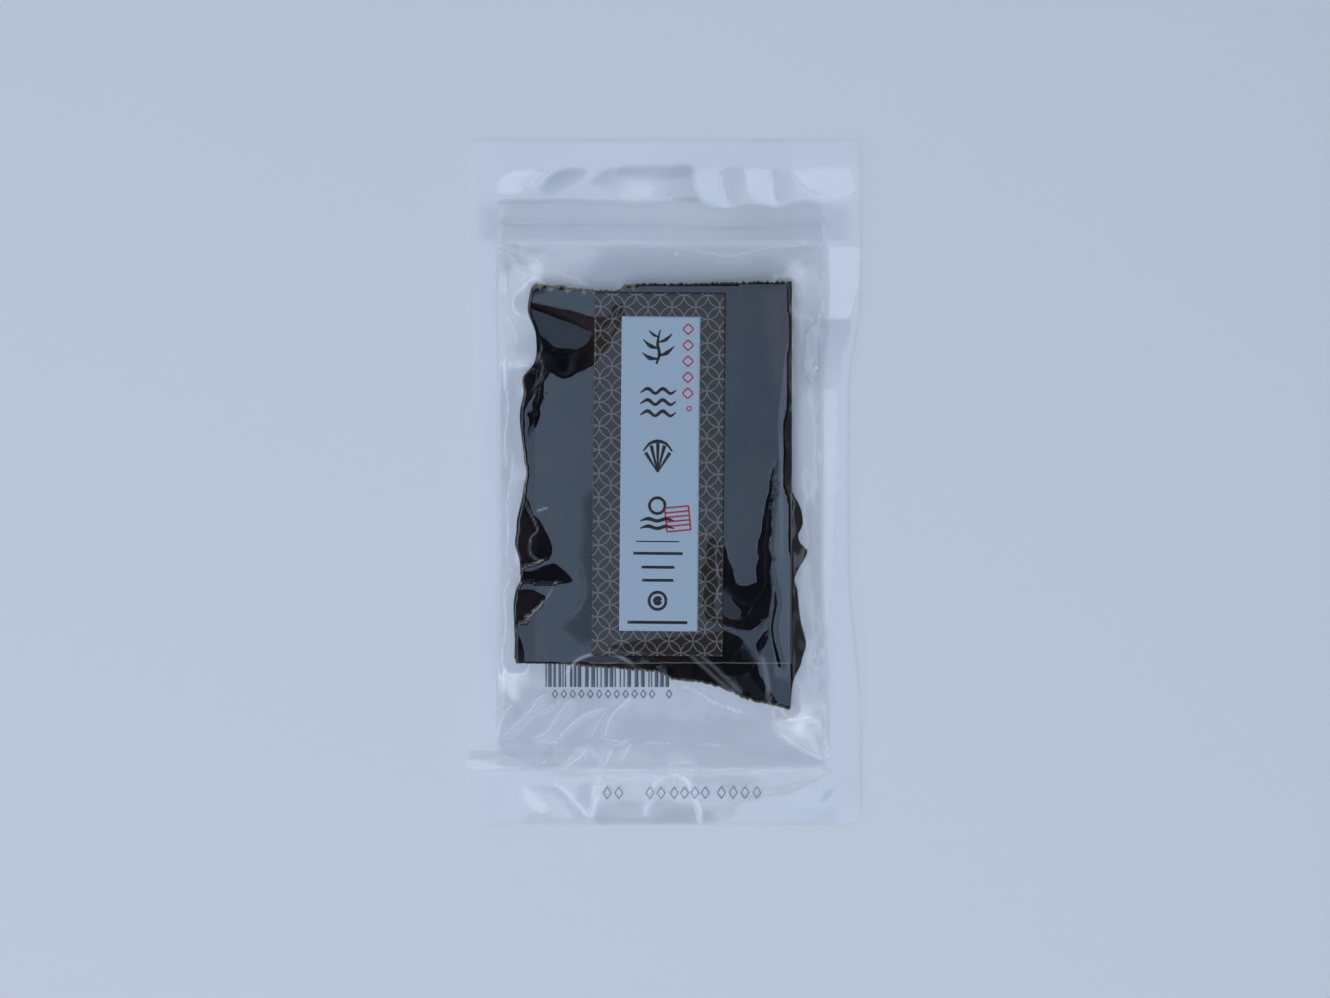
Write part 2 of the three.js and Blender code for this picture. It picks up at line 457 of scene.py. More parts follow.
FRONT_TOP = [
    (-41, 53.6), (-36, 53.5), (-33, 53.2), (-27, 52.5), (-20, 51.9), (-15, 51.4), (-12.2, 51.5),
    (-11.3, 53.0), (-6, 53.4), (0, 53.3), (8, 53.5), (20, 53.8), (36, 54.0),
]
FRONT_RIGHT = 34.2
FRONT_FOOT = -48.7
print(f"front blade {FRONT_RIGHT - LEFT_EDGE[-1][0]:.0f} mm wide at its foot")

# %% [markdown]
# ## Folds over the kelp
#
# The veil on the film goes out wherever it tilts more than about five degrees, so a fold is
# best described by its slope and not by its height. Each fold below is an outline, and the
# film falls inside it at one even slope: its depth is the distance to the rim times the slope.
# That keeps every fold dark up to a crisp rim, and the film round it stays flat.

# %% Fold outlines
# Each fold has a rim, from which the film falls, and the points that close its outline where it
# runs out over the edge of the kelp. A fold with no such points is a closed dent.
FOLDS = {
    "top_left": (
        [(-38, 49.2), (-33.4, 48.1), (-27.3, 46.7), (-22.7, 45.4), (-18.4, 44.8), (-14.9, 45.1),
         (-13.6, 47.5), (-12, 48.6), (-10.6, 47), (-11.4, 43.5), (-14.1, 38.1), (-16.5, 34.4),
         (-18.9, 32.2), (-23, 29.8), (-25.4, 28.2), (-27.8, 28.2), (-30.7, 29.6), (-31.8, 27.4),
         (-32.6, 23.4), (-33.4, 19.1)],
        [(-34.5, 18.3), (-34.5, 21.5), (-34.2, 26.3), (-35.8, 28.5), (-38, 32), (-40, 40)],
    ),
    "left_upper": (
        [(-35.2, 30.4), (-34, 29), (-34.2, 25.8), (-35.8, 22.1), (-37.2, 19.4), (-38.2, 17.6)],
        [(-43, 17.6), (-43, 30.4)],
    ),
    "left_spot": ([(-36.8, 18.6), (-35.3, 19.1), (-34.2, 17.5), (-35, 14.8), (-36, 12.4), (-36.6, 15.3)], []),
    "left_margin": (
        [(-42, 20), (-38.3, 19), (-37.6, 15), (-37.6, 10), (-38.2, 7), (-42, 5)],
        [(-44, 12)],
    ),
    "teardrop": (
        [(-41, 0), (-38, -2.9), (-36.6, -4.8), (-35, -8), (-33.2, -11.5), (-31.3, -14.4), (-30.5, -17.1),
         (-31, -19.8)],
        [(-32.6, -21.3), (-34.5, -21.7), (-44, -21.9), (-46, -10)],
    ),
    "left_wedge": (
        [(-44, -23.8), (-32.6, -23.3), (-30.2, -22.2), (-28.9, -22.2), (-27, -23.8), (-25.5, -25.7),
         (-24.6, -27)],
        [(-28.9, -26.7), (-32.6, -26.9), (-44, -26.6), (-46, -25)],
    ),
    "left_blob": (
        [(-44, -30.2), (-38.3, -29.2), (-35.3, -29.2), (-32.1, -30.2)],
        [(-32.9, -31.6), (-34.8, -33.5), (-36.6, -35.6), (-38.5, -37.9), (-44, -38.6), (-46, -34)],
    ),
    "lower_left": (
        [(-44, -39.1), (-40.4, -40.2), (-39.1, -41.5), (-38.1, -44.5), (-37.7, -49.5)],
        [(-46, -49.5)],
    ),
    "right_pool": (
        [(29.7, 7.8), (30.4, 4.4), (30.1, -0.5), (29.4, -6.4), (28.7, -12.5), (28.4, -18.7), (29, -23.3),
         (29.1, -27), (28.9, -29.7), (28.7, -33.1), (28, -36.4), (26.7, -38.2), (24, -39.4), (20.5, -39.6),
         (15.9, -38.8), (11.6, -37.5), (10.3, -31.6), (10.3, -22.2), (12.2, -14.4), (15.9, -17.1),
         (17.3, -20.3), (18.5, -24.3), (19.7, -27), (21.3, -28.1), (22.9, -27.6), (24.5, -26),
         (25, -20.3), (25.3, -15.5), (26.5, -9.3), (27.7, -4.8), (29, 3)],
        [],
    ),
    "foot_pool": (
        [(-28.2, -50), (-20.6, -47.3), (-17.4, -45.4), (-14.2, -43.8), (-9.3, -42.7), (-3.9, -42.2),
         (6.8, -40.9), (16, -40), (18.9, -41.4), (21.6, -42.7), (23.3, -45.4), (24.1, -47),
         (25.9, -50.3), (27, -54.3), (28.1, -62)],
        [(0, -64), (-28, -54)],
    ),
    "island": ([(24.3, -43), (27.3, -39.9), (28, -41), (26, -45.4), (25, -46.8)], []),
}
# Places inside the folds that lie flat again, or nearly: the fold, the depth at the first point or
# None for as deep as the fold allows, and how steeply the place falls to the right and to the foot
FLATS = {
    "top_left_pool": ("top_left", 0.55, (0.01, 0.07), [
        (-36.5, 46.6), (-38.5, 50.5), (-33.4, 49.6), (-27, 48.2), (-19.6, 46.8), (-19.7, 42), (-19.8, 38.6),
        (-20, 37.3), (-20.8, 36.3), (-27, 36.1), (-31, 36.8), (-33.2, 39.8), (-35.3, 43.5)]),
    "right_shine": ("right_pool", None, (0, 0), [
        (15.9, -28.9), (18.1, -31.1), (20.2, -34), (20.5, -35.9), (18.3, -36.4), (14.3, -35.1),
        (13.8, -31.6)]),
    "half_oval": ("foot_pool", None, (0, 0), [
        (-23.9, -50), (-22.5, -47.9), (-20.1, -46.5), (-17.4, -45.8), (-14.2, -46), (-11.5, -47),
        (-8.8, -48.7), (-6.4, -50.8), (-7.7, -54), (-22.8, -54)]),
}
# The film falls at this slope in most folds, and at its own slope in these
FOLD_SLOPE = 0.22
FOLD_SLOPES = {"foot_pool": 0.14, "top_left": 0.27}
# These folds have a frayed rim
FRAYED = ("top_left", "right_pool", "left_blob")
print(f"{len(FOLDS)} folds with {len(FLATS)} flat places")

# %% Seeded waves
rng = np.random.default_rng(7)


def waves(count, longest, shortest):
    """A seeded sum of plane waves, with values of about -1 to 1 and lengths in millimetres."""
    total = np.zeros(grid_x.shape)
    for _ in range(count):
        length = rng.uniform(shortest, longest)
        turn = rng.uniform(0, 2 * math.pi)
        passed = grid_x * math.cos(turn) + grid_y * math.sin(turn)
        total += np.sin(2 * math.pi * passed / length + rng.uniform(0, 6.3))
    return total / math.sqrt(count)


# %% Depth of the folds
# How far a rim strays from its smooth line, and the share of that at the upper folds
FRAY = 0.35
UPPER_FRAY_SHARE = 0.35

fray = FRAY * (UPPER_FRAY_SHARE + (1 - UPPER_FRAY_SHARE) * smooth(46, 38, grid_y))
bent = (grid_x + fray * waves(12, 12, 5), grid_y + fray * waves(12, 12, 5))
frayed = (bent[0] + fray * waves(12, 3, 1), bent[1] + fray * waves(12, 3, 1))
fold_depth = np.zeros(grid_x.shape)
in_flats = np.zeros(grid_x.shape, bool)
for name, (rim, closing) in FOLDS.items():
    whole = rim + closing + rim[:1]
    mask = inside(curve(whole), *(frayed if name in FRAYED else bent))
    off, _ = to_line(curve(rim if closing else whole), *bent)
    slope = FOLD_SLOPES.get(name, FOLD_SLOPE)
    depth = slope * np.abs(off)
    for flat_fold, level, (to_right, to_foot), points in FLATS.values():
        if flat_fold == name:
            flat_line = curve(points + points[:1])
            off, _ = to_line(flat_line, *bent)
            off = np.where(inside(flat_line, *bent), 0, np.abs(off))
            sunk = to_right * (bent[0] - points[0][0]) + to_foot * (points[0][1] - bent[1])
            level = (depth - sunk)[off == 0].min() if level is None else level
            depth = np.minimum(depth, level + sunk + slope * off)
            in_flats |= off == 0
    fold_depth = np.where(mask, depth, fold_depth)
print(f"folds cover {100 * np.mean(fold_depth > 0):.0f}% of the film, {fold_depth.max():.1f} mm deep")

# %% Bottoms of the folds
# Where the slopes from both rims meet, the film is nearly level again
BOTTOM_DEPTH = 0.2
BOTTOM_SLOPE = 0.6 * FOLD_SLOPE


def grown(mask):
    """The mask, one grid step wider all round."""
    wider = mask.copy()
    wider[1:] |= mask[:-1]
    wider[:-1] |= mask[1:]
    wider[:, 1:] |= mask[:, :-1]
    wider[:, :-1] |= mask[:, 1:]
    return wider


fall_y, fall_x = np.gradient(fold_depth, STEP_Y, STEP_X)
bottoms = (fold_depth > BOTTOM_DEPTH) & (np.hypot(fall_x, fall_y) < BOTTOM_SLOPE) & ~in_flats
bottoms = grown(grown(bottoms)) & (fold_depth > 0) & ~in_flats
print(f"bottoms are {100 * np.sum(bottoms) / np.sum(fold_depth > 0):.0f}% of the folds")

# %% [markdown]
# ## Where the film touches
#
# The film rests on the stack and on the rear blade's tail, and it is held in the welds. It
# leaves the stack a little inside the kelp's edges, and it cuts across the stack's top corners.

# %% Where the film lies on the kelp
EDGE_DROP = [
    (33.9, 56), (33.4, 52), (33.4, 47.5), (34.0, 44), (33.9, 38), (33.4, 31), (33.6, 22), (32.4, 15),
    (32.3, 5), (32.7, -2), (33.8, -6), (34.2, -20), (34.4, -45), (34.2, -62),
]
LEFT_INSET = 0.6
TOP_INSET = 0.3
TAIL_INSET = 0.5
CHAMFER_LEFT = 2.0
CHAMFER_RIGHT = 0.7

left_support = edge_at(LEFT_EDGE, grid_y) + LEFT_INSET
right_support = edge_at(EDGE_DROP, grid_y)
top_support = np.interp(grid_x, *np.array(FRONT_TOP).T) - TOP_INSET
corner_left = grid_x - left_support + top_support - grid_y
corner_right = right_support - grid_x + top_support - grid_y
on_stack = (grid_x > left_support) & (grid_x < right_support)
on_stack &= (grid_y > FRONT_FOOT) & (grid_y < top_support)
on_stack &= (corner_left > CHAMFER_LEFT) & (corner_right > CHAMFER_RIGHT)
tail_edge = np.interp(grid_x, *np.array(REAR_FOOT).T)
on_tail = (grid_x > 0) & (grid_x < right_support)
on_tail &= (grid_y > tail_edge + TAIL_INSET) & (grid_y <= FRONT_FOOT)
in_weld = (grid_x < INNER["left"]) | (grid_x > INNER["right"])
in_weld |= (grid_y < INNER["foot"]) | (grid_y > INNER["top"])
resting = on_stack | on_tail
print(f"film on kelp {100 * np.mean(resting):.0f}%, in welds {100 * np.mean(in_weld):.0f}%")

# %% [markdown]
# ## The film between the kelp and the welds
#
# Between the edge of the kelp and the welds the film is free, and it stretches like a membrane:
# the height of each grid point is the mean of its neighbours'. Conjugate gradients solve these
# equations in a few hundred cheap steps, and no library beyond numpy is needed.

# %% Membrane solver
SOLVER_ROUNDS = 700


def pull_back(h):
    """How hard the membrane pulls each point back to its four neighbours."""
    pull = np.zeros_like(h)
    pull[1:-1, 1:-1] = 2 * (1 / STEP_X**2 + 1 / STEP_Y**2) * h[1:-1, 1:-1]
    pull[1:-1, 1:-1] -= (h[1:-1, 2:] + h[1:-1, :-2]) / STEP_X**2 + (h[2:, 1:-1] + h[:-2, 1:-1]) / STEP_Y**2
    return pull


def stretch(h, free):
    """Solves for the free heights, with all others held."""
    left_over = np.where(free, -pull_back(h), 0)
    search = left_over.copy()
    power = np.sum(left_over**2)
    h = h.copy()
    for _ in range(SOLVER_ROUNDS):
        moved = np.where(free, pull_back(search), 0)
        step = power / np.sum(search * moved)
        h += step * search
        left_over -= step * moved
        new_power = np.sum(left_over**2)
        search = left_over + search * (new_power / power)
        power = new_power
    return h


# %% Tent over the kelp
FLAT_WAVE = 0.05
# Right of this line the film on the kelp leans out a little, down to the lean's foot
LEAN_FROM = [
    (29.2, -62), (29.2, -37), (29.0, -20), (30.0, -4.5), (30.6, 5), (30.4, 17), (31.6, 27), (32.8, 36),
    (34.6, 44), (37, 54),
]
LEAN_SLOPE = 0.03
LEAN_FOOT = -50
# The strip stands open a little, and slopes down to its upper border, which follows the pockets
# of air above it. At its ends the air runs out.
STRIP_AIR = 1.3
AIR_END = 7
STRIP_BORDER = [
    (-54, 76.4), (-44, 76.6), (-30, 77), (-18, 76.6), (-8, 76), (0, 76.6), (6, 77.6), (9, 77), (11.8, 75),
    (17.9, 74.5), (22.4, 75.6), (30.8, 74.8), (35.8, 76.2), (45.8, 75.9), (54, 76.2),
]

kelp_wave = FLAT_WAVE * waves(10, 60, 25)
lean = LEAN_SLOPE * np.maximum(0, grid_x - edge_at(LEAN_FROM, grid_y))
kelp_wave -= lean * smooth(LEAN_FOOT - 6, LEAN_FOOT, grid_y)
border = np.interp(grid_x, *curve(STRIP_BORDER).T)
strip_air = STRIP_AIR * np.clip((border - grid_y) / STRIP_WIDTH, 0, 1)
left_end = smooth(INNER["left"], INNER["left"] + AIR_END, grid_x)
strip_air *= left_end * (1 - smooth(INNER["right"] - AIR_END, INNER["right"], grid_x))
in_head = np.where(grid_y > INNER["top"], strip_air, 0)
held = np.where(resting, STACK_HEIGHT + kelp_wave - fold_depth, in_head)
tent = stretch(held, ~(resting | in_weld))
print(f"tent from {tent[resting].min():.1f} to {tent.max():.1f} mm")

# %% [markdown]
# ## Creases
#
# A crease is a narrow roof along a line. One side may be steep and the other long and gentle,
# as where a pleat lies over. It is simply added to the film's height. A sharp crease also gets
# a painted highlight along its line: white mixed into the film where it would mirror the lamps.

# %% Lines on the film
def near(line, reach):
    """The part of the grid that lies close to a line."""
    low, high = line.min(0) - reach, line.max(0) + reach
    first = max(0, int((low[0] + HALF_WIDTH) / STEP_X)), max(0, int((low[1] + HALF_LENGTH) / STEP_Y))
    last = int((high[0] + HALF_WIDTH) / STEP_X) + 2, int((high[1] + HALF_LENGTH) / STEP_Y) + 2
    return slice(first[1], last[1]), slice(first[0], last[0])


def line_mark(points, reach, taper):
    """The part of the grid near a line, with 1 on the line, falling to 0 at its reach and ends."""
    line = curve(points)
    part = near(line, reach)
    off, share = to_line(line, grid_x[part], grid_y[part])
    ends = smooth(0, taper, share) * (1 - smooth(1 - taper, 1, share))
    return part, ends * (1 - np.clip(np.abs(off) / reach, 0, 1))


# %% Crease
# Half the width of a line of painted highlight, and how much weaker the painted highlight is on the two sides
# of a crease
CREASE_LINE = 0.5
SIDE_HIGHLIGHT = 0.4
# The painted highlight at each point of the film, 0 to 1
painted_highlight = np.zeros(grid_x.shape)


def paint_highlight(points, amount, reach=CREASE_LINE, taper=0.1):
    """Paints a highlight on the film along a line: white mixed into it."""
    part, mark = line_mark(points, reach, taper)
    painted_highlight[part] = np.maximum(painted_highlight[part], amount * mark)


def crease(film, points, rise, left=0.8, right=0.8, taper=0.1, highlight=0.0):
    """Adds a roof along the line, with its own width on each side. A negative rise is a groove."""
    line = curve(points)
    part = near(line, max(left, right))
    off, share = to_line(line, grid_x[part], grid_y[part])
    roof = np.maximum(0, 1 - np.where(off > 0, off / left, -off / right))
    ends = smooth(0, taper, share) * (1 - smooth(1 - taper, 1, share))
    film[part] += rise * roof * ends
    # A painted highlight on the crease's line, and a fainter one on its roof
    if highlight:
        paint_highlight(points, highlight)
        painted_highlight[part] = np.maximum(painted_highlight[part], SIDE_HIGHLIGHT * highlight * roof * ends)


# %% Pleats of the front film
# Points, rise, widths to the left and right of the line
PLEATS = [
    # Fan at the lower left
    ([(-45.4, -69.9), (-44.8, -66), (-43.2, -62.3), (-40.6, -59.6)], 0.75, 1.3, 1.6),
    ([(-44.6, -69.8), (-41.5, -66.6), (-38.4, -64), (-36.4, -61.8), (-34.6, -59),
      (-31.5, -56.6)], 0.75, 1.3, 3.2),
    ([(-43, -70), (-40, -67.9), (-37.4, -65), (-33, -61.6), (-28.5, -60)], 0.5, 0.9, 2.0),
    ([(-36.6, -69.7), (-33.2, -68.4), (-31, -66.5), (-29.4, -63.6), (-27, -60.6),
      (-24, -57.6)], 0.85, 1.4, 3.4),
    ([(-36.6, -69.7), (-33, -69.9), (-30.5, -70.7), (-28.4, -70.2)], 0.6, 1.0, 1.0),
    ([(-28.4, -70), (-27.7, -67.8), (-25, -65.4), (-22, -63), (-18.5, -61.5), (-15, -61)], 0.7, 1.2, 2.4),
    ([(-20.4, -69.5), (-18.4, -65.5), (-15.4, -61.4)], 0.5, 0.9, 1.6),
    ([(-16.4, -70.2), (-15.7, -66.8), (-14.6, -63.4), (-12.6, -61), (-8.4, -57.9)], 0.7, 1.3, 3.0),
    ([(-28.6, -77.4), (-24, -75.3), (-20.9, -71.8)], 0.7, 1.3, 1.6),
    ([(-20.4, -72.2), (-18.2, -74.8), (-17.2, -77)], 0.4, 1.6, 0.9),
    ([(-17.6, -77.4), (-15.8, -75.8), (-14.3, -71.8)], 0.7, 1.3, 1.3),
    ([(-12, -75.2), (-10.6, -73.4), (-9, -70.6)], 0.6, 1.1, 1.4),
    ([(-15.5, -70.4), (-13, -69.8), (-11.6, -70.6), (-9.6, -69.2)], 0.5, 0.9, 0.9),
    ([(-14.5, -71.4), (-12, -70.6), (-10.2, -70)], 0.5, 0.9, 0.9),
    ([(-6, -70.8), (-2, -70.2), (2, -70.7)], 0.4, 0.8, 1.2),
    ([(8.6, -71.2), (12, -70.8), (15.6, -71.3)], 0.3, 0.8, 1.2),
    # Lower right, where the weld pulls the film to a point
    ([(28.8, -65), (30.5, -67.5), (33.5, -70), (38, -72.8), (44.4, -76.2)], 0.9, 1.5, 1.2),
    ([(31, -65), (33, -67), (35.4, -69), (39.5, -72.2), (43.4, -75.2)], 0.5, 0.9, 0.9),
    ([(30.6, -64.2), (34, -63.9), (37, -64), (40, -63.8), (42, -64.6)], 0.7, 2.4, 1.2),
    ([(38.5, -69.3), (40, -71.3), (43, -74.6)], 0.7, 1.2, 1.2),
    ([(42.6, -68.4), (43.4, -72), (44.4, -75.8)], 0.7, 1.2, 1.2),
    ([(41.8, -55), (43.2, -60.8), (43.6, -67.7), (44.3, -75.3)], 0.5, 1.6, 0.9),
    ([(29.4, -59.5), (29.2, -62), (30.2, -65)], 0.4, 0.9, 0.9),
    ([(4.5, -54.6), (9, -56.6), (14, -59.6), (21.5, -62.2)], 0.45, 0.9, 1.2),
    ([(10, -64.4), (14, -64.1), (18, -64.4)], -0.25, 0.6, 0.6),
    # Upper left and upper right, from the ends of the strip
    ([(-45.6, 65), (-41, 60.5), (-36.4, 55.2)], 0.5, 1.4, 1.4),
    ([(-45.2, 65), (-36, 60.4), (-28, 56.4), (-20, 52.4)], 0.5, 1.2, 3.0),
    ([(-45.6, 65), (-43.6, 59), (-43, 50)], 0.5, 1.2, 1.2),
    ([(43.8, 64.6), (37.5, 60.4), (31, 55.4)], 0.5, 1.4, 3.0),
    ([(43.3, 64.6), (33, 63.4), (25, 61.6), (17, 60.8), (8, 63.2), (0, 64.2), (-20, 64.4),
      (-44, 65.0)], 0.2, 0.8, 1.4),
    ([(43.0, 64.4), (42.6, 58), (42.4, 50), (42, 45)], 0.5, 1.0, 1.0),
    ([(3.9, 62.8), (2.8, 61.6), (4.2, 61.2), (3.8, 60)], 0.6, 0.9, 0.9),
    # Down the sides
    ([(-44, 46), (-42, 44), (-40.6, 41), (-40, 37)], 0.3, 1.2, 1.2),
    ([(-43.2, 36), (-43.8, 28), (-42.6, 20), (-43.6, 12), (-43, 2)], 0.6, 1.0, 1.4),
    ([(-41.2, 10), (-41.6, 2), (-43, -6), (-42.6, -14), (-43.6, -22)], 0.6, 1.2, 1.0),
    ([(-43.5, -24), (-42, -26.5), (-43.8, -30), (-43, -38), (-44, -46), (-43.4, -56),
      (-44.6, -66)], 0.65, 1.1, 1.2),
    ([(-44.5, -22), (-41.5, -23.5), (-40.5, -24)], 0.5, 0.9, 0.9),
    ([(41.5, 44.5), (38.5, 41.2), (37.7, 37.2), (38.3, 31.8), (39.9, 29.1), (42, 25.8)], -0.5, 0.8, 0.8),
    ([(42, 42), (41.2, 20), (41.4, 0), (41.2, -20), (41.5, -43)], 0.3, 0.9, 1.2),
    ([(41.7, -44.7), (40.3, -48.1), (41.3, -50.1), (43, -52.3)], 0.5, 0.9, 0.9),
]
# The real rise is this share of the one listed. A pleat that is listed with at least the full
# rise gets the most painted highlight, and a groove gets none.
PLEAT_RISE = 0.12
PLEAT_HIGHLIGHT = 0.55
FULL_RISE = 0.7

pleats = np.zeros(grid_x.shape)
for points, rise, left, right in PLEATS:
    highlight = PLEAT_HIGHLIGHT * min(1, max(0, rise) / FULL_RISE)
    crease(pleats, points, PLEAT_RISE * rise, left, right, highlight=highlight)
print(f"{len(PLEATS)} pleats")

# %% Creases over the kelp
# Over its lower edge: points, rise, width to each side
KELP_CREASES = [
    ([(3.6, -42.5), (7.5, -46.9), (10.6, -49.7), (15.1, -53.8), (19.9, -57.2)], 0.042, 0.9),
    ([(8.9, -45.9), (13.7, -50), (17.1, -53.5), (21.3, -57.5)], 0.042, 0.9),
    ([(25.6, -46), (26.8, -50.4), (27.6, -55), (28.6, -61)], 0.06, 0.8),
]
# Painted highlight along these creases
KELP_HIGHLIGHT = 0.14
# A groove down the right of the kelp
GROOVE = [
    (28.6, -22.5), (29.1, -26.3), (30.1, -29.8), (30.3, -33.1), (29.6, -36.2), (29.3, -40), (30.1, -44.1),
    (31.2, -48.2), (31.8, -51),
]
GROOVE_DEPTH = 0.14
GROOVE_WIDTH = 0.6

for points, rise, width in KELP_CREASES:
    crease(pleats, points, rise, width, width, highlight=KELP_HIGHLIGHT)
crease(pleats, GROOVE, -GROOVE_DEPTH, GROOVE_WIDTH, GROOVE_WIDTH)
print(f"{len(KELP_CREASES)} creases and a groove over the kelp")

# %% Ripples of the loose film
# Their height, and the share of it that is missing above the kelp, where the film is stretched
RIPPLE = 0.09
CALM_SHARE = 0.8

loose = ~(resting | in_weld)
rippled = loose * smooth(0, 3, grid_x - INNER["left"]) * (1 - smooth(-3, 0, grid_x - INNER["right"]))
calm = smooth(52, 56, grid_y) * smooth(33, 27, np.abs(grid_x))
pleats += rippled * (1 - CALM_SHARE * calm) * RIPPLE * waves(24, 14, 5)
print(f"film loose on {100 * np.mean(loose):.0f}% of the pouch")

# %% [markdown]
# ## Header and foot seal
#
# Above the strip the two films hold pockets of air, with ridges between them. At the foot they
# are welded into one wide seal, which lies in a few folds: a leaf, a V, an arch and a step.
# They are creases too, drawn by the same function.

# %% Ridges of the header
# Points, rise, widths to the left and right
HEAD_FOLDS = [
    ([(-40, 78.4), (-37.2, 80.6), (-34.4, 83.6), (-32.6, 85)], 0.2, 1.4, 0.8),
    ([(-36.8, 79.4), (-33, 82.6), (-29.6, 85)], 0.2, 0.6, 0.6),
    ([(15.4, 85.2), (15.4, 80), (17.2, 75)], 0.2, 2.0, 0.8),
    ([(28.6, 85.2), (29, 80), (30.4, 75.4)], 0.2, 2.0, 0.8),
    ([(33.4, 84.4), (35.6, 81.6), (38.4, 79.2), (44, 77.2)], 0.25, 0.8, 0.9),
    ([(0.7, 78.4), (1.4, 77.5), (2.3, 76.8)], 0.3, 0.6, 0.6),
]
HEAD_TAPER = 0.2
# Painted highlight along the ridges, times their rise
HEAD_HIGHLIGHT = 1.2
HEAD_RIPPLE = 0.05

head_air = np.zeros(grid_x.shape)
for points, rise, left, right in HEAD_FOLDS:
    crease(head_air, points, rise, left, right, HEAD_TAPER, HEAD_HIGHLIGHT * rise)
ripple = HEAD_RIPPLE * waves(14, 16, 6) * smooth(STRIP_TOP - 1, STRIP_TOP + 2, grid_y)
head_air += ripple * (1 - smooth(85, 88, grid_y))
print(f"{len(HEAD_FOLDS)} ridges in the header")

# %% Folds of the foot seal
# Points, rise, widths to the left and right
SEAL_FOLDS = [
    ([(-38.7, -82.2), (-36.8, -82.8), (-34.6, -84.9), (-32.2, -87), (-30.8, -89.4)], 0.4, 0.6, 1.5),
    ([(-30.4, -82), (-27, -83.8), (-23.6, -87.2), (-20.2, -91.4)], 1.0, 0.9, 0.9),
    ([(-20.2, -91.4), (-19.2, -87.6), (-18, -83.6), (-17.2, -82)], 1.0, 0.9, 1.6),
    ([(-17.6, -83), (-16, -80.4), (-14.8, -78.8)], 0.4, 0.9, 0.9),
    ([(0.3, -77.2), (2.9, -76.1), (6.7, -76.1), (9.9, -77.2)], 0.8, 0.8, 0.8),
    ([(-5.2, -90), (-4.4, -86.6), (-2.9, -83.1), (0, -80.2), (3, -79)], 0.8, 0.9, 0.9),
    ([(3.6, -79.2), (5.6, -81.6), (7.4, -84.6), (8.8, -88), (9.9, -92)], 0.8, 0.9, 0.9),
    ([(12.4, -92), (15.6, -89.5), (20, -86), (29, -84.2), (36, -82.4), (39.1, -80.9),
      (44.2, -78)], 0.3, 3, 0.8),
    ([(-53, -77.5), (-42, -77.6), (-30, -77.7), (-10, -78), (-2, -78.2)], 0.6, 0.6, 0.6),
    ([(-53, -78.9), (-30, -78.8), (-16, -78.6)], 0.3, 0.8, 0.8),
    ([(12, -78.1), (26, -78.3), (46, -77.9)], 0.3, 0.8, 0.8),
    ([(-53, -75.1), (-48, -75.9), (-42.3, -77.5)], 0.4, 0.6, 1.0),
    ([(-44.5, -73.4), (-40, -75.6), (-35.6, -77.2)], 0.3, 0.8, 0.8),
    ([(-33.8, -76.6), (-33, -75.8), (-32, -75.6)], 0.5, 0.6, 0.6),
]
# The real rise is this share of the one listed
SEAL_RISE = 0.12
SEAL_TAPER = 0.06
# Painted highlight along the folds, times the listed rise
SEAL_HIGHLIGHT = 0.6
SEAL_RIPPLE = 0.05
# The middle of the seal leans back toward the foot
SEAL_MIDDLE = [
    (-19.6, -92), (-18.4, -87.6), (-16.8, -82), (-14.6, -78.6), (0, -78.4), (20, -78.4), (44.2, -78),
    (39.1, -80.9), (36, -82.4), (29, -84.2), (20, -86), (15.6, -89.5), (12.4, -92.2), (0, -92.4),
]
SEAL_LEAN = 0.02

folded_weld = np.zeros(grid_x.shape)
for points, rise, left, right in SEAL_FOLDS:
    crease(folded_weld, points, SEAL_RISE * rise, left, right, SEAL_TAPER, SEAL_HIGHLIGHT * rise)
folded_weld += SEAL_RIPPLE * waves(16, 22, 9) * smooth(INNER["foot"] + 1, INNER["foot"] - 2, grid_y)
folded_weld += SEAL_LEAN * (grid_y + HALF_LENGTH) * soft_mask(SEAL_MIDDLE, 0.8, *bent)
print(f"{len(SEAL_FOLDS)} folds in the foot seal")

# %% [markdown]
# ## Heights of both films
#
# All the parts of the shape are now added up: the welded plane, the tent over the kelp, the
# pleats, the header's air and the ribs of the strip. The ribs are pressed into both films, so
# each film gets a share of them. Two small functions read a film's height at any place, and
# the kelp, the label and the ink are fitted to it with them.

# %% Ribs of the strip
# Place above the strip's centre, and rise
RIB_ROWS = [(-5.6, 0.03), (-4.7, 0.03), (-3.4, 0.05), (-2.2, 0.03), (-0.8, 0.12), (0.3, 0.05), (4.9, 0.04)]
RIB_WIDTH = 0.55
RIB_SAG = 0.35
RIB_BACK_SHARE = 0.4


def ribs(x, y):
    """Height of the ribs, which run in a slow wave and stop at the side welds."""
    between = smooth(INNER["left"] - 1, INNER["left"] + 1, x)
    between *= 1 - smooth(INNER["right"] - 1, INNER["right"] + 1, x)
    sag = RIB_SAG * np.sin((x + 20) / 22)
    total = 0
    for offset, rise in RIB_ROWS:
        total = total + rise * np.exp(-(((y - STRIP_CENTRE - offset - sag) / RIB_WIDTH) ** 2))
    return total * between


# %% Heights of both films
LOWEST = 0.02

plane = weld_plane(grid_x, grid_y) + folded_weld
rib = ribs(grid_x, grid_y)
back_film = np.maximum(LOWEST, plane - RIB_BACK_SHARE * rib)
front_film = plane + 2 * FILM + WELD_GAP + tent + pleats + (1 - RIB_BACK_SHARE) * rib + head_air
front_film = np.maximum(front_film, back_film + 2 * FILM + WELD_GAP)
print(f"front film up to {front_film.max():.1f} mm above the table")


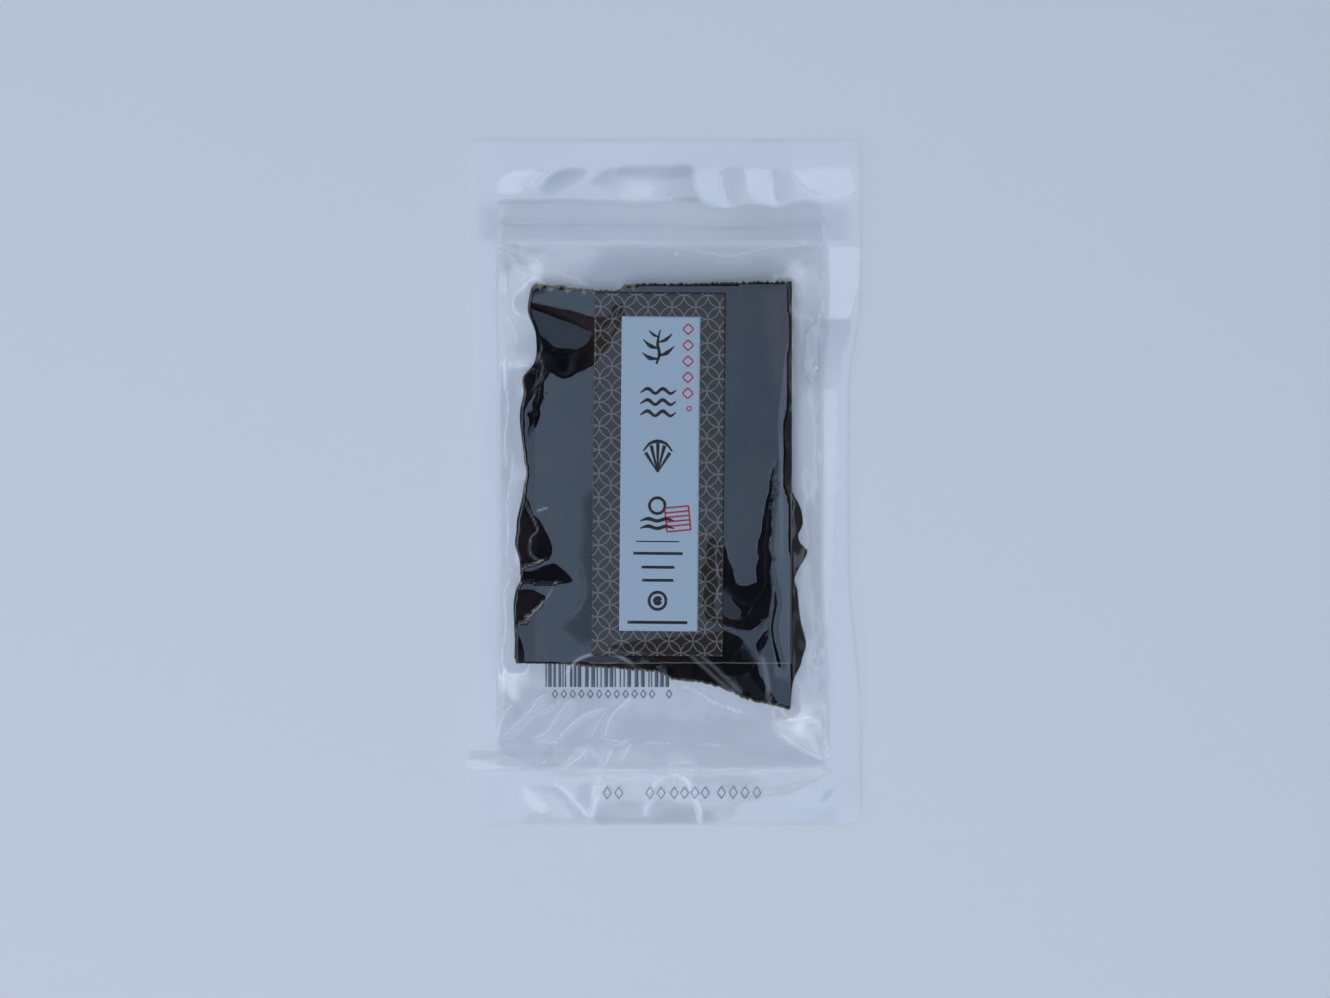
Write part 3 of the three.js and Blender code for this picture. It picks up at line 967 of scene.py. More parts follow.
# %% Reading the heights
def read_grid(values, x, y):
    """Value of a grid at any place, read between its points."""
    column = np.clip((x + HALF_WIDTH) / STEP_X, 0, COLUMNS - 1.001)
    row = np.clip((y + HALF_LENGTH) / STEP_Y, 0, ROWS - 1.001)
    i, j = row.astype(int), column.astype(int)
    u, v = column - j, row - i
    low = values[i, j] * (1 - u) + values[i, j + 1] * u
    high = values[i + 1, j] * (1 - u) + values[i + 1, j + 1] * u
    return low * (1 - v) + high * v


def front_height(x, y):
    """Upper face of the front film."""
    return read_grid(front_film, x, y)


def back_height(x, y):
    """Upper face of the back film."""
    return read_grid(back_film, x, y) + FILM


# %% [markdown]
# ## One builder for every sheet
#
# Film, label, kelp and ink are all sheets: an upper face, a lower face and a rim between them.
# One function builds such closed skins from grids of points. The lower face may be coarser,
# because nobody looks at it closely.

# %% Sheet builder
def skins(name, grids, materials, coarse=1, marks=None):
    """Closed skins in one piece. Each grid is x, y, top and bottom in millimetres, and the lower
    face keeps every coarse-th point. Materials are for the upper face, lower face and rim.
    Marks are named values for the points of the first grid's upper face."""
    points, faces, kinds = [], [], []
    start = 0
    for x, y, top, bottom in grids:
        upper = np.stack([x, y, top], -1)
        lower = np.stack([x, y, bottom], -1)[::coarse, ::coarse]
        points += [upper.reshape(-1, 3), lower.reshape(-1, 3)]
        at_top = np.arange(x.size).reshape(x.shape) + start
        at_bottom = np.arange(lower.size // 3).reshape(lower.shape[:2]) + start + x.size
        start += x.size + lower.size // 3
        for kind, at in enumerate((at_top, at_bottom)):
            corners = np.stack([at[:-1, :-1], at[:-1, 1:], at[1:, 1:], at[1:, :-1]], -1).reshape(-1, 4)
            faces += (corners[:, ::-1] if kind else corners).tolist()
            kinds += [kind] * len(corners)
        rims = [
            (at_top[0], at_bottom[0]),
            (at_top[:, -1], at_bottom[:, -1]),
            (at_top[-1, ::-1], at_bottom[-1, ::-1]),
            (at_top[::-1, 0], at_bottom[::-1, 0]),
        ]
        for above, below in rims:
            for k in range(len(below) - 1):
                run = above[k * coarse : (k + 1) * coarse + 1].tolist()
                faces.append(run[::-1] + [int(below[k]), int(below[k + 1])])
                kinds.append(2)
    mesh = bpy.data.meshes.new(name)
    mesh.from_pydata((np.vstack(points) * MM).tolist(), [], faces)
    for material in materials:
        mesh.materials.append(material)
    mesh.polygons.foreach_set("material_index", np.minimum(kinds, len(materials) - 1).astype(np.int32))
    mesh.polygons.foreach_set("use_smooth", np.array(kinds) < 2)
    for label, values in (marks or {}).items():
        layer = mesh.attributes.new(label, "FLOAT", "POINT")
        padded = np.zeros(start)
        padded[: values.size] = values.ravel()
        layer.data.foreach_set("value", padded)
    made = bpy.data.objects.new(name, mesh)
    bpy.context.collection.objects.link(made)
    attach(made, "root")
    print(f"{name}: {start} points, {len(faces)} faces")
    return made


# %% [markdown]
# ## Film
#
# The pouch is a laminate of nylon and polyethylene, blown and then pressed between rollers, so
# both faces are almost optically smooth. Its IOR is about 1.5, so each face mirrors 4% of the
# light head on and far more at a glancing angle. Both faces of a film are only 0.1 mm apart
# and mirror the same thing, so the outer face carries the gloss of both. Where the film clings
# to the kelp with no air between them, its inner face mirrors nothing, and the gloss is halved.
# The inner faces are left quite clear, so that no light is counted twice.

# %% Film materials
FILM_GLOSS = 0.08
FILM_ROUGHNESS = 0.05
# The film mirrors more as it's seen at a flatter angle, by this power
GRAZING_POWER = 5.0
# Painted shade: where the film is marked for it, it lets less light straight through and darkens what lies
# behind it
PAINTED_SHADE_TINT = (0.87, 0.88, 0.893)

clear_film, tree = new_material("nylon and polyethylene film, outer face")
tilt = add(tree, "ShaderNodeLayerWeight", {"Blend": 0.5}).outputs["Facing"]
grazing = add(tree, "ShaderNodeMath", {0: tilt, 1: GRAZING_POWER}, operation="POWER")
cling = add(tree, "ShaderNodeAttribute", attribute_name="cling").outputs["Fac"]
head_on = add(tree, "ShaderNodeMath", {0: cling, 1: -FILM_GLOSS / 2, 2: FILM_GLOSS}, operation="MULTIPLY_ADD")
mirror = add(
    tree,
    "ShaderNodeMath",
    {0: grazing.outputs[0], 1: 1 - FILM_GLOSS, 2: head_on.outputs[0]},
    operation="MULTIPLY_ADD",
)
painted_shade_share = add(tree, "ShaderNodeAttribute", attribute_name="painted_shade_share").outputs["Fac"]
tint = add(
    tree,
    "ShaderNodeMix",
    {"Factor": painted_shade_share, "A": (1, 1, 1, 1), "B": (*PAINTED_SHADE_TINT, 1)},
    data_type="RGBA",
)
through = add(tree, "ShaderNodeBsdfTransparent", {"Color": tint.outputs["Result"]})
shine = add(tree, "ShaderNodeBsdfGlossy", {"Color": (1, 1, 1, 1), "Roughness": FILM_ROUGHNESS})
# Painted highlight: white mixed into the film in place of the lamps that its creases mirror
white = add(tree, "ShaderNodeBsdfDiffuse", {"Color": linear("#fdfdfd")})
highlight_share = add(tree, "ShaderNodeAttribute", attribute_name="painted_highlight").outputs["Fac"]
# The painted highlight is left out of shadow rays, so it casts no shadow
in_shadow = add(tree, "ShaderNodeLightPath").outputs["Is Shadow Ray"]
lit = add(tree, "ShaderNodeMath", {0: 1.0, 1: in_shadow}, operation="SUBTRACT")
seen_highlight = add(tree, "ShaderNodeMath", {0: highlight_share, 1: lit.outputs[0]}, operation="MULTIPLY")
body = add(tree, "ShaderNodeMixShader", {0: seen_highlight.outputs[0], 1: through.outputs[0], 2: white.outputs[0]})
film = add(tree, "ShaderNodeMixShader", {0: mirror.outputs[0], 1: body.outputs[0], 2: shine.outputs[0]})
finish_material(tree, film)

inner_face, tree = new_material("nylon and polyethylene film, inner face")
finish_material(tree, add(tree, "ShaderNodeBsdfTransparent", {"Color": (1, 1, 1, 1)}))

# %% [markdown]
# ## Painted shade, cling and painted highlight
#
# Three values at each point of the film say how it looks there. Painted shade darkens what lies
# behind the film, clinging film mirrors less, and painted highlight mixes white into the film.
# They start from where the film is welded, ribbed or free. Then lists of outlines set them
# further, each with an amount and the softness of its edge in millimetres.

# %% Painted shade and cling by place
# In the welds both films are one, so only their outer faces mirror. In the header they lie
# close together, and it comes to nearly the same.
# Painted shade over the inside of the pouch, which fades out at its borders
INSIDE_PAINTED_SHADE = 0.33
# How far each change at the borders of the inside reaches, outward and inward
SIDE_FADE = (1, 1.5)
FOOT_FADE = (0.8, 0.8)
TOP_FADE = (0.7, 0.7)
HEADER_FADE = (79, 76)

across_share = smooth(INNER["left"] - SIDE_FADE[0], INNER["left"] + SIDE_FADE[1], grid_x)
across_share *= smooth(INNER["right"] + SIDE_FADE[0], INNER["right"] - SIDE_FADE[1], grid_x)
along_share = smooth(INNER["foot"] - FOOT_FADE[0], INNER["foot"] + FOOT_FADE[1], grid_y)
painted_shade = INSIDE_PAINTED_SHADE * across_share * along_share
painted_shade *= smooth(INNER["top"] + TOP_FADE[0], INNER["top"] - TOP_FADE[1], grid_y)
weld_share = 1 - across_share * along_share * smooth(*HEADER_FADE, grid_y)
print(f"{100 * np.mean(weld_share > 0.5):.0f}% of the film is welded or as good as that")

# %% Painted shade of the strip
# The strip is thick and ribbed, and its rows are painted as darker and lighter bands. Its rows from foot to
# head: height and change of painted shade
STRIP_ROWS = [
    (62.6, 0), (63.2, 0.08), (63.8, 0.02), (64.3, -0.3), (65.2, -0.22), (65.8, -0.04), (66.1, 0.12),
    (66.6, 0.0), (67.1, 0.08), (67.6, 0.02), (68.1, 0.1), (68.7, 0.14), (69.4, 0.06), (70.5, 0.06),
    (71.1, 0.12), (71.7, 0.05), (72.4, 0.0), (73.4, 0.03), (74.4, 0.01), (75.4, 0.16), (76.0, 0.08),
    (76.4, 0),
]
# The height of its upper border that the rows are meant for, and where it ends at either side
BORDER_HEIGHT = 76.2
STRIP_END = 45.2
# Painted shade of the whole strip, what its left and right add to that, and the painted shade past its ends
STRIP_PAINTED_SHADE = 0.08
LEFT_EXTRA = 0.06
RIGHT_EXTRA = 0.13
PAST_END_PAINTED_SHADE = 0.34
# A line of painted shade under the middle rib: its height, its dip and where that is, its reach and amount
RIB_SHADE_LINE = {"height": 69.9, "dip": 0.8, "dip_at": 17, "dip_width": 16, "reach": 0.5, "painted_shade_share": 0.4}

row_height = grid_y + (BORDER_HEIGHT - border) * smooth(71, 75, grid_y)
rows = np.interp(row_height, *np.array(STRIP_ROWS).T)
in_strip = smooth(76.6, 76, row_height) * smooth(64.8, 66.4, grid_y)
sides = LEFT_EXTRA * smooth(-12, -24, grid_x)
sides += RIGHT_EXTRA * smooth(12, 24, grid_x) * smooth(76.4, 74.4, row_height)
in_ends = smooth(STRIP_END + 0.4, STRIP_END - 0.2, np.abs(grid_x))
past_ends = (1 - in_ends) * smooth(52.4, 46, np.abs(grid_x))
painted_shade += in_ends * (rows + in_strip * (STRIP_PAINTED_SHADE + sides))
painted_shade += PAST_END_PAINTED_SHADE * past_ends * in_strip * smooth(76.6, 73, grid_y)
dip = RIB_SHADE_LINE["dip"] * np.exp(-(((grid_x - RIB_SHADE_LINE["dip_at"]) / RIB_SHADE_LINE["dip_width"]) ** 2))
off = np.abs(grid_y - (RIB_SHADE_LINE["height"] - dip))
painted_shade += RIB_SHADE_LINE["painted_shade_share"] * np.maximum(0, 1 - off / RIB_SHADE_LINE["reach"]) * in_ends
print(f"{len(STRIP_ROWS)} rows in the strip")

# %% Outlines that are used twice
# Two windows in the right seal, painted brighter: more gloss and a painted highlight stand in for the flatter
# film there
SEAL_WINDOW = [
    (43.4, 63.6), (43.4, 64), (43.8, 64), (53, 64), (53.4, 64), (53.4, 63.6), (52.2, 52), (50.7, 44.6),
    (50.6, 44.2), (50.2, 44.2), (43, 44.2), (42.6, 44.2), (42.6, 44.6),
]
SEAL_LOW = [
    (42.2, 25), (42.2, 25.4), (42.6, 25.4), (49.4, 25.4), (49.8, 25.4), (49.8, 25), (49.6, 0), (47, -30),
    (44, -46), (42.6, -46), (42.4, -20),
]
# Bright places of the header and the foot seal, painted with more gloss and a painted highlight
HEADER_LEAF = [(-45.4, 78.6), (-45.7, 81), (-42.8, 83.6), (-38, 85), (-33.6, 84.6), (-37.3, 80.5),
               (-40, 78.5)]
HEADER_RIGHT = [(34.4, 84.6), (46, 85.6), (51, 85), (52, 78), (45.5, 76.6), (41, 77.9), (37.6, 79.8)]
FOOT_LEAF = [
    (-38.7, -82.2), (-37.3, -82.6), (-34.6, -84.9), (-32.2, -87), (-30.9, -89.2), (-32.7, -89.9),
    (-35.6, -88.7), (-37.7, -86.3), (-38.6, -84.4),
]
V_LEFT_LEG = [(-30.4, -81.6), (-27, -82.4), (-24.4, -85), (-20.2, -91.4), (-24, -87.2), (-27.4, -83.8)]
ARCH_TOP = [(0.2, -77.4), (3, -76.3), (7, -76.3), (9.6, -77.4), (8, -79.4), (5, -81), (1.4, -79)]
ARCH_LEFT = [(-5.8, -90), (-4, -90), (-2, -83.4), (2.6, -79.6), (2.4, -78.9), (-1.6, -81), (-4.4, -85)]
ARCH_RIGHT = [(3, -79), (4.4, -79.6), (8.4, -85), (10.7, -92), (9, -92), (6.6, -85.4)]

# %% Places of painted shade, and of more or less gloss
# Places painted darker or lighter: change of painted shade, change of cling (less or more
# gloss), softness of the edge, the two points between which it fades out, and the outline
SHADES = {
    "header_patch_a": (0.85, 0, 0.9, ((-28, 84.4), (-25, 78.4)),
        [(-33.9, 79.5), (-30.6, 83.4), (-25.6, 85.1), (-21.1, 84.8), (-24.4, 81), (-30.6, 78.4)]),
    "header_patch_b": (0.55, 0, 1.0, ((-14, 85), (-11, 79.6)),
        [(-20.5, 81.2), (-16.6, 84.5), (-12.2, 85.4), (-4, 85.4), (-5, 81), (-11, 80), (-15.5, 80)]),
    "header_hollow": (0.5, 0, 0.8, ((8, 84), (-6, 79)),
        [(-9, 85.4), (0, 85.8), (7.4, 85.6), (8, 81), (9.4, 76.8), (4, 76.4), (-4, 78.4), (-8, 82)]),
    "header_wedge_1": (0.35, 0, 0.35, ((17, 80), (24, 79)),
        [(16.6, 85.4), (21.3, 85.4), (22, 79.6), (23.9, 76.4), (21, 75.4), (18.5, 75.1), (17.2, 77.7)]),
    "header_wedge_2": (0.25, 0, 0.35, ((29.8, 80), (37.4, 80)),
        [(29.6, 85.2), (33.6, 84), (35.4, 81.4), (37.2, 79.6), (34, 77), (31.2, 76.2), (30, 79)]),
    "header_band": (0.35, 0, 0.9, None, [(-12, 85.6), (6, 85.8), (7, 83), (-2, 82.6), (-12, 83.4)]),
    "header_left": (0.12, 0, 2.0, None, [(-44, 77), (-44, 80), (-36, 79), (-20, 80.5), (-12, 80), (-12, 77)]),
    "header_leaf": (0, -0.6, 0.4, None, HEADER_LEAF),
    "cell_1": (0, -1.2, 0.4, ((15, 80), (9, 80)),
        [(9, 85.2), (16, 85.2), (15.8, 80), (17.4, 75), (12, 75.2), (9.4, 80)]),
    "cell_2": (0, -0.9, 0.6, ((28, 80), (21, 80)),
        [(22, 85.2), (29.2, 85.2), (29.4, 80), (30.8, 75.2), (22.6, 75.6), (21, 80)]),
    "header_right": (0, -0.5, 1.2, None, HEADER_RIGHT),
    "seal_window": (0, -0.6, 0.25, None, SEAL_WINDOW),
    "seal_dark": (0.36, 0, 0.5, ((46, 42), (46, 22)),
        [(42.2, 44.2), (51, 44.2), (50.6, 35), (50, 25.6), (42, 25.6)]),
    "seal_low": (0, -0.6, 0.3, ((46, 0), (46, -44)), SEAL_LOW),
    "under_strip": (0.34, 0, 2.4, None,
        [(-26, 57), (-14, 61.4), (6, 61.4), (17, 59), (28, 61), (31, 55), (10, 55), (-14, 54)]),
    "left_gap_top": (0.1, 0.3, 2.0, None, [(-44.6, 64), (-37, 58), (-37.2, 46), (-37, 38), (-44, 36)]),
    "left_top": (-0.3, 0, 2.0, None, [(-40, 64), (-19, 63.6), (-23, 55), (-36, 55)]),
    "seal_left_line": (0.3, 0, 0.2, None,
        [(-45.2, 64), (-44.8, 64), (-44.6, 40), (-44.6, 0), (-44.9, 0), (-44.9, 40)]),
    "kelp_bow": (0, 0.8, 1.4, None,
        [(-21.4, -4), (-22.4, -20), (-21.6, -28), (-23, -35), (-27, -39), (-18, -41), (-18, -4)]),
    "left_gap_mid": (0.2, 0, 1.0, None, [(-44, 34), (-41, 30), (-40.6, 2), (-44, 2)]),
    "right_gap_mid": (-0.33, 0, 1.2, None, [(36.6, 24), (42, 24), (42, -2), (37, -2)]),
    "pool": (0, 0.1, 0.5, None,
        [(-36.5, 46.6), (-27, 44), (-20, 41), (-20.8, 36.3), (-27, 36.1), (-33.2, 39.8)]),
    "kelp_corner": (0, 1, 0.4, None, [(-36.4, 54), (-32.6, 53), (-32.2, 51), (-34, 50.4), (-36.6, 50.4)]),
    "foot_band": (0, 0.8, 0.5, None,
        [(-53, -70.6), (-30, -70.6), (10, -72.2), (25, -74.2), (40, -76.5), (44, -77.6), (-53, -77.6)]),
    "foot_middle": (0.1, 0, 0.8, None, SEAL_MIDDLE),
    "foot_low": (0.3, 0.6, 1.0, None, [(-18.6, -92.6), (-17.6, -87), (6, -87), (12, -92.6)]),
    "foot_v": (0.4, 0, 0.4, None,
        [(-23.6, -82.4), (-20.2, -82.2), (-19.8, -86), (-20.4, -88.6), (-21.6, -87.6), (-23.6, -84.8)]),
    "foot_leaf": (0.4, 0, 0.6, None,
        [(-37, -82.1), (-31, -82.7), (-27.2, -84.6), (-23, -90), (-25, -91), (-29, -86.4), (-33, -83.6)]),
    "foot_corner": (0.15, 0, 0.8, ((-44, -73), (-50, -75)),
        [(-45.7, -71.2), (-40, -76.2), (-36, -77.2), (-28, -77.2), (-22, -72.2), (-22, -70.9), (-34, -70.7)]),
    "foot_bright_leaf": (0, -0.5, 0.6, None, FOOT_LEAF),
    "foot_bright_v": (0, -0.5, 0.35, None,
        [(-19.8, -82.2), (-17, -82.2), (-18.6, -87), (-19.8, -91.2), (-20.4, -88)]),
    "foot_left_leg": (0, -1.2, 0.35, None, V_LEFT_LEG),
    "foot_arch": (0, -0.9, 0.5, None, ARCH_TOP),
    "foot_arch_left": (-0.3, -1.2, 0.35, None, ARCH_LEFT),
    "foot_arch_right": (-0.3, -1.2, 0.35, None, ARCH_RIGHT),
    "foot_right": (0, -0.6, 0.6, None,
        [(16.6, -91), (21, -87.4), (30, -85.4), (40, -82), (46, -79), (51, -79), (50, -90), (40, -91)]),
    "foot_shade_patch": (0.4, 0, 0.5, None,
        [(42.3, -86), (43.6, -84), (45.6, -83.2), (45.6, -84.6), (43.4, -86.6)]),
    "foot_patch": (0.16, 0, 0.3, ((43, -90), (31, -90)),
        [(30, -88.8), (45.2, -88.4), (45.2, -92.4), (31, -92.4)]),
}
for shade_change, cling_change, soft, fade, points in SHADES.values():
    mask = soft_mask(points, soft, *bent)
    if fade:
        start, run = np.array(fade[0]), np.subtract(fade[1], fade[0])
        passed = (grid_x - start[0]) * run[0] + (grid_y - start[1]) * run[1]
        mask *= 1 - np.clip(passed / (run @ run), 0, 1)
    painted_shade += shade_change * mask
    weld_share += cling_change * mask
print(f"{len(SHADES)} slacker or closer places")

# %% Painted highlights
# Soft painted highlights, white mixed into the film in place of mirrored lamps: whiteness, softness, outline
PAINTED_HIGHLIGHTS = [
    (0.14, 0.7, [(-45.6, 65.2), (-38, 62.4), (-28, 57.8), (-20, 53.2), (-24, 53.4), (-33, 57)]),
    (0.16, 0.5, [(-45.8, 65.2), (-40.6, 60.8), (-36.2, 55.6), (-38.6, 55.6), (-42.4, 60)]),
    (0.12, 1.0, [(-44, 65.2), (-30, 62.6), (-18, 62.6), (-26, 60.4), (-36, 61.6)]),
    (0.08, 2.0, [(-44.6, 0), (-41, -4), (-41.4, -20), (-42, -40), (-42.4, -60), (-45, -64)]),
    (0.45, 0.7, [(29.4, -65.4), (31, -64), (36, -63.8), (42.6, -64.4), (43.8, -70), (44.4, -75.6),
                 (39.4, -73.4), (33, -69.4)]),
    (0.80, 1.4, [(33.4, -65.4), (41, -65.6), (41, -69), (41.4, -73), (37, -69.8)]),
    (0.48, 0.6, FOOT_LEAF),
    (0.24, 0.5, [(-29, -85.2), (-27.4, -86.4), (-25, -90.6), (-26.6, -90.4)]),
    (0.42, 0.4, V_LEFT_LEG),
    (0.48, 0.4, [(-19.8, -82.2), (-17, -82.2), (-18.6, -87), (-19.8, -91.2), (-20.2, -88)]),
    (0.22, 0.5, [(-30, -77.6), (-28.2, -77.6), (-20.6, -72), (-22, -71.6)]),
    (0.26, 0.4, [(-53, -75.2), (-48, -76), (-42, -77.5), (-53, -77.2)]),
    (0.25, 0.5, [(-37, -69.9), (-33.2, -68.5), (-27.9, -69.9), (-31.2, -70.8)]),
    (0.45, 0.4, ARCH_LEFT),
    (0.45, 0.4, ARCH_RIGHT),
    (0.20, 0.6, ARCH_TOP),
    (0.10, 2.0, [(41, 64), (44, 60), (43.6, 45), (41.6, 42), (38, 50), (38, 58)]),
    (0.13, 0.6, [(43.8, 64.8), (36.6, 60), (31.2, 55.6), (34, 54.6), (38, 57.6), (43.6, 61)]),
    (0.26, 1.0, [(-18, -79.4), (-2, -79.4), (7, -81), (8.4, -86), (-18, -86.4)]),
    (0.22, 1.2, [(-12, 77.2), (-5, 77.4), (-2, 79.6), (-6, 81.4), (-11, 80.6)]),
    # Header: the leaf and the two cells
    (0.48, 0.5, HEADER_LEAF),
    (0.17, 0.6, [(7.2, 84.6), (15.8, 85), (15.4, 79), (17.5, 74.9), (14.3, 75.2), (9.4, 78), (8, 80)]),
    (0.32, 0.6, [(21.5, 84.8), (28.8, 85), (29.2, 80), (30.6, 75.3), (29, 75.1), (25.1, 76.6), (22.6, 79.6)]),
    (0.34, 1.2, HEADER_RIGHT),
    # The window in the right seal
    (0.33, 0.25, SEAL_WINDOW),
    (0.26, 1.5, SEAL_LOW),
]
for amount, soft, points in PAINTED_HIGHLIGHTS:
    painted_highlight = np.maximum(painted_highlight, amount * soft_mask(points, soft, *bent))
print(f"{len(PAINTED_HIGHLIGHTS)} white places")

# %% Lines of painted highlight and painted shade
LINE_TAPER = 0.2
# Lines of painted highlight, where the film only bends and no crease is built: whiteness, reach, line
HIGHLIGHT_LINES = [
    (0.3, 0.6, [(-28.1, -53.6), (-23.1, -47.5), (-15.4, -45.8), (-9.8, -48), (-7.1, -50.5)]),
    (0.4, 0.6, [(0.1, 63.9), (8.5, 62.8), (17.4, 61.1), (28, 63.6), (42.5, 65)]),
    (0.45, 0.6, [(43.3, 63.9), (43.3, 57.7), (42.2, 51.6), (42.2, 45.5), (39.1, 41.6)]),
    (0.3, 0.9, [(-45, 65.3), (-20, 65.1), (0, 65)]),
    (0.25, 0.6, [(-45, 70.5), (-36, 70.4), (-28, 70.4)]),
    (0.35, 0.5, [(-45.4, 64.6), (-36, 60.2), (-28, 56.6), (-21, 53)]),
    (0.3, 0.6, [(-45.2, 65), (-44.6, 58), (-43.8, 50)]),
    # The rim of the triangle at the lower right
    (1.0, 0.5, [(29.5, -65.9), (33, -69.4), (39.4, -73.4), (44, -75.2)]),
    (1.0, 0.5, [(31.5, -64.2), (38.8, -63.6), (41.4, -64.2)]),
    (1.0, 0.5, [(43.1, -68.8), (44, -72), (44.6, -75.2)]),
    (0.8, 0.7, [(31.8, -64.2), (34.7, -67.1), (39.4, -70.2), (41, -71.6), (43.4, -74.6)]),
    # The tail of the S in the right gap, and its painted glints
    (0.6, 0.5, [(38.8, 28.8), (40.2, 27.2), (42, 25.4)]),
    (0.5, 0.5, [(39.6, 28.8), (41, 27.2), (42.4, 26)]),
    (0.8, 0.6, [(40.9, 30.6), (41.8, 31), (42.8, 31.2)]),
    (0.5, 0.5, [(40.2, 31.4), (41.2, 31.8)]),
    # Thin lines over the kelp
    (0.16, 0.35, [(-37.4, -3.2), (-37.1, -6.1), (-35.4, -9.5), (-34.2, -12.9), (-35.9, -14.8),
                  (-36.4, -17.8), (-35.7, -19.7), (-33.2, -21.1), (-30.3, -19.7)]),
    (0.16, 0.35, [(-29.9, -27), (-30.3, -28.9), (-31.8, -31.3), (-33.7, -33.7), (-35.7, -35.2),
                  (-37.1, -37.1), (-40, -37.8)]),
    (0.05, 0.5, [(-23.1, -19.7), (-21.6, -25.4), (-21.1, -29.8), (-23.1, -34.2), (-27, -37.1)]),
    (0.3, 0.4, [(-34.6, -7.8), (-31.2, -6.8)]),
    (0.3, 0.5, [(3.6, 62.9), (2.6, 61.6), (4.2, 61.2), (3.6, 60)]),
    (0.12, 0.35, [(-33.8, 39.2), (-33.2, 35.8), (-33.8, 34), (-32.8, 31), (-34, 27), (-36.4, 23.4)]),
    (0.06, 0.8, [(31.6, 16), (31.2, 4), (31.4, -10), (31.2, -24)]),
]
# Lines of painted shade, where the film stands on edge and mirrors the dark room: amount of painted shade,
# reach, line
SHADE_LINES = [
    (0.2, 0.5, [(-44.8, 76.4), (-38, 76.3), (-30, 76)]),
    (0.9, 0.5, [(41.6, 44), (38.6, 41.2), (37.6, 37.2), (37.5, 31.6), (38.8, 28.4), (41, 25.6)]),
    (0.5, 0.5, [(-45.2, 65.2), (-36, 63), (-26, 61.4)]),
    (0.5, 0.5, [(-53, -74.4), (-48, -75), (-42, -76.8)]),
    (0.5, 0.9, [(42.2, -69), (42.5, -71.4), (43.6, -74)]),
    (0.4, 0.5, [(10, -63.8), (14, -63.6), (18, -63.9)]),
    (0.4, 0.5, [(-45, -78.2), (-20, -78.3), (20, -78.7)]),
]

for amount, reach, points in HIGHLIGHT_LINES:
    paint_highlight(points, amount, reach, LINE_TAPER)
for amount, reach, points in SHADE_LINES:
    part, mark = line_mark(points, reach, LINE_TAPER)
    painted_shade[part] += amount * mark
print(f"{len(HIGHLIGHT_LINES)} light and {len(SHADE_LINES)} dark lines")

# %% Front film
# In a fold the film clings to the kelp, and at its bottom it mirrors next to nothing
FOLD_CLING = 1
BOTTOM_CLING = 0.8
# The lower face keeps every third point
LOWER_STEP = 3

painted_shade = np.clip(painted_shade, 0, 1)
weld_share = np.minimum(weld_share, 1)
clinging = np.where(fold_depth > 0, FOLD_CLING, weld_share) + BOTTOM_CLING * bottoms
film_x = outline(grid_x, grid_y)
front = skins(
    "pouch_front_film",
    [(film_x, grid_y, front_film, front_film - FILM)],
    [clear_film, inner_face, clear_film],
    LOWER_STEP,
    {"cling": clinging, "painted_shade_share": painted_shade, "painted_highlight": painted_highlight},
)
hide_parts("pouch")

# %% Back film
# The back film lies flat under the stack, so half the points in each direction are enough
half = slice(None, None, 2)
back_x, back_y = film_x[half, half], grid_y[half, half]
back_low = back_film[half, half]
back = skins(
    "pouch_back_film",
    [(back_x, back_y, back_low + FILM, back_low)],
    [clear_film, inner_face, clear_film],
    1,
    {"cling": weld_share[half, half], "painted_shade_share": painted_shade[half, half]},
)
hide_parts("pouch")

# %% [markdown]
# ## Kelp
#
# Kombu is a leathery brown seaweed, dried flat in the sun. Its blade is thick in the middle and
# thin and frilled along the natural edge. These sheets are cut to length, so the cut ends show
# the paler flesh between two dark skins. The dried skin is dull and has a faint relief of
# fibres, and it is browner where it is thin.

# %% Kelp skin
# Fibres run down the blade, about 1 mm apart and 8 mm long
FIBRES_PER_MM = (0.9, 0.12, 0.3)
FIBRE_RELIEF = 0.3
FIBRE_SHARE = 0.25
# Browner patches, about 15 mm across
PATCHES_PER_MM = 0.07
# The blend of patches and fibres at which the skin is darkest, and at which it is brownest
SKIN_STOPS = [(0.5, "#090b10"), (0.72, "#221a19")]

kelp_skin, tree = new_material("sun-dried kelp skin")
place = add(tree, "ShaderNodeTexCoord").outputs["Object"]
fibre_scale = [count / MM for count in FIBRES_PER_MM]
streaks = add(tree, "ShaderNodeMapping", {"Vector": place, "Scale": fibre_scale})
fibres = add(tree, "ShaderNodeTexNoise", {"Vector": streaks.outputs[0], "Scale": 1.0, "Detail": 4})
patches = add(tree, "ShaderNodeTexNoise", {"Vector": place, "Scale": PATCHES_PER_MM / MM, "Detail": 2})
patch_part = add(
    tree,
    "ShaderNodeMath",
    {0: patches.outputs["Fac"], 1: 1 - FIBRE_SHARE},
    operation="MULTIPLY",
)
blend = add(
    tree,
    "ShaderNodeMath",
    {0: fibres.outputs["Fac"], 1: FIBRE_SHARE, 2: patch_part.outputs[0]},
    operation="MULTIPLY_ADD",
)
tone = add(tree, "ShaderNodeValToRGB", {"Fac": blend.outputs[0]})
for element, (stop, colour) in zip(tone.color_ramp.elements, SKIN_STOPS):
    element.position = stop
    element.color = linear(colour)
flesh_share = add(tree, "ShaderNodeAttribute", attribute_name="flesh").outputs["Fac"]
brown_share = add(tree, "ShaderNodeAttribute", attribute_name="brown").outputs["Fac"]
skin_tone = add(
    tree,
    "ShaderNodeMix",
    {"Factor": brown_share, "A": tone.outputs[0], "B": linear("#3d302f")},
    data_type="RGBA",
)
skin_colour = add(
    tree,
    "ShaderNodeMix",
    {"Factor": flesh_share, "A": skin_tone.outputs["Result"], "B": linear("#7a7261")},
    data_type="RGBA",
)
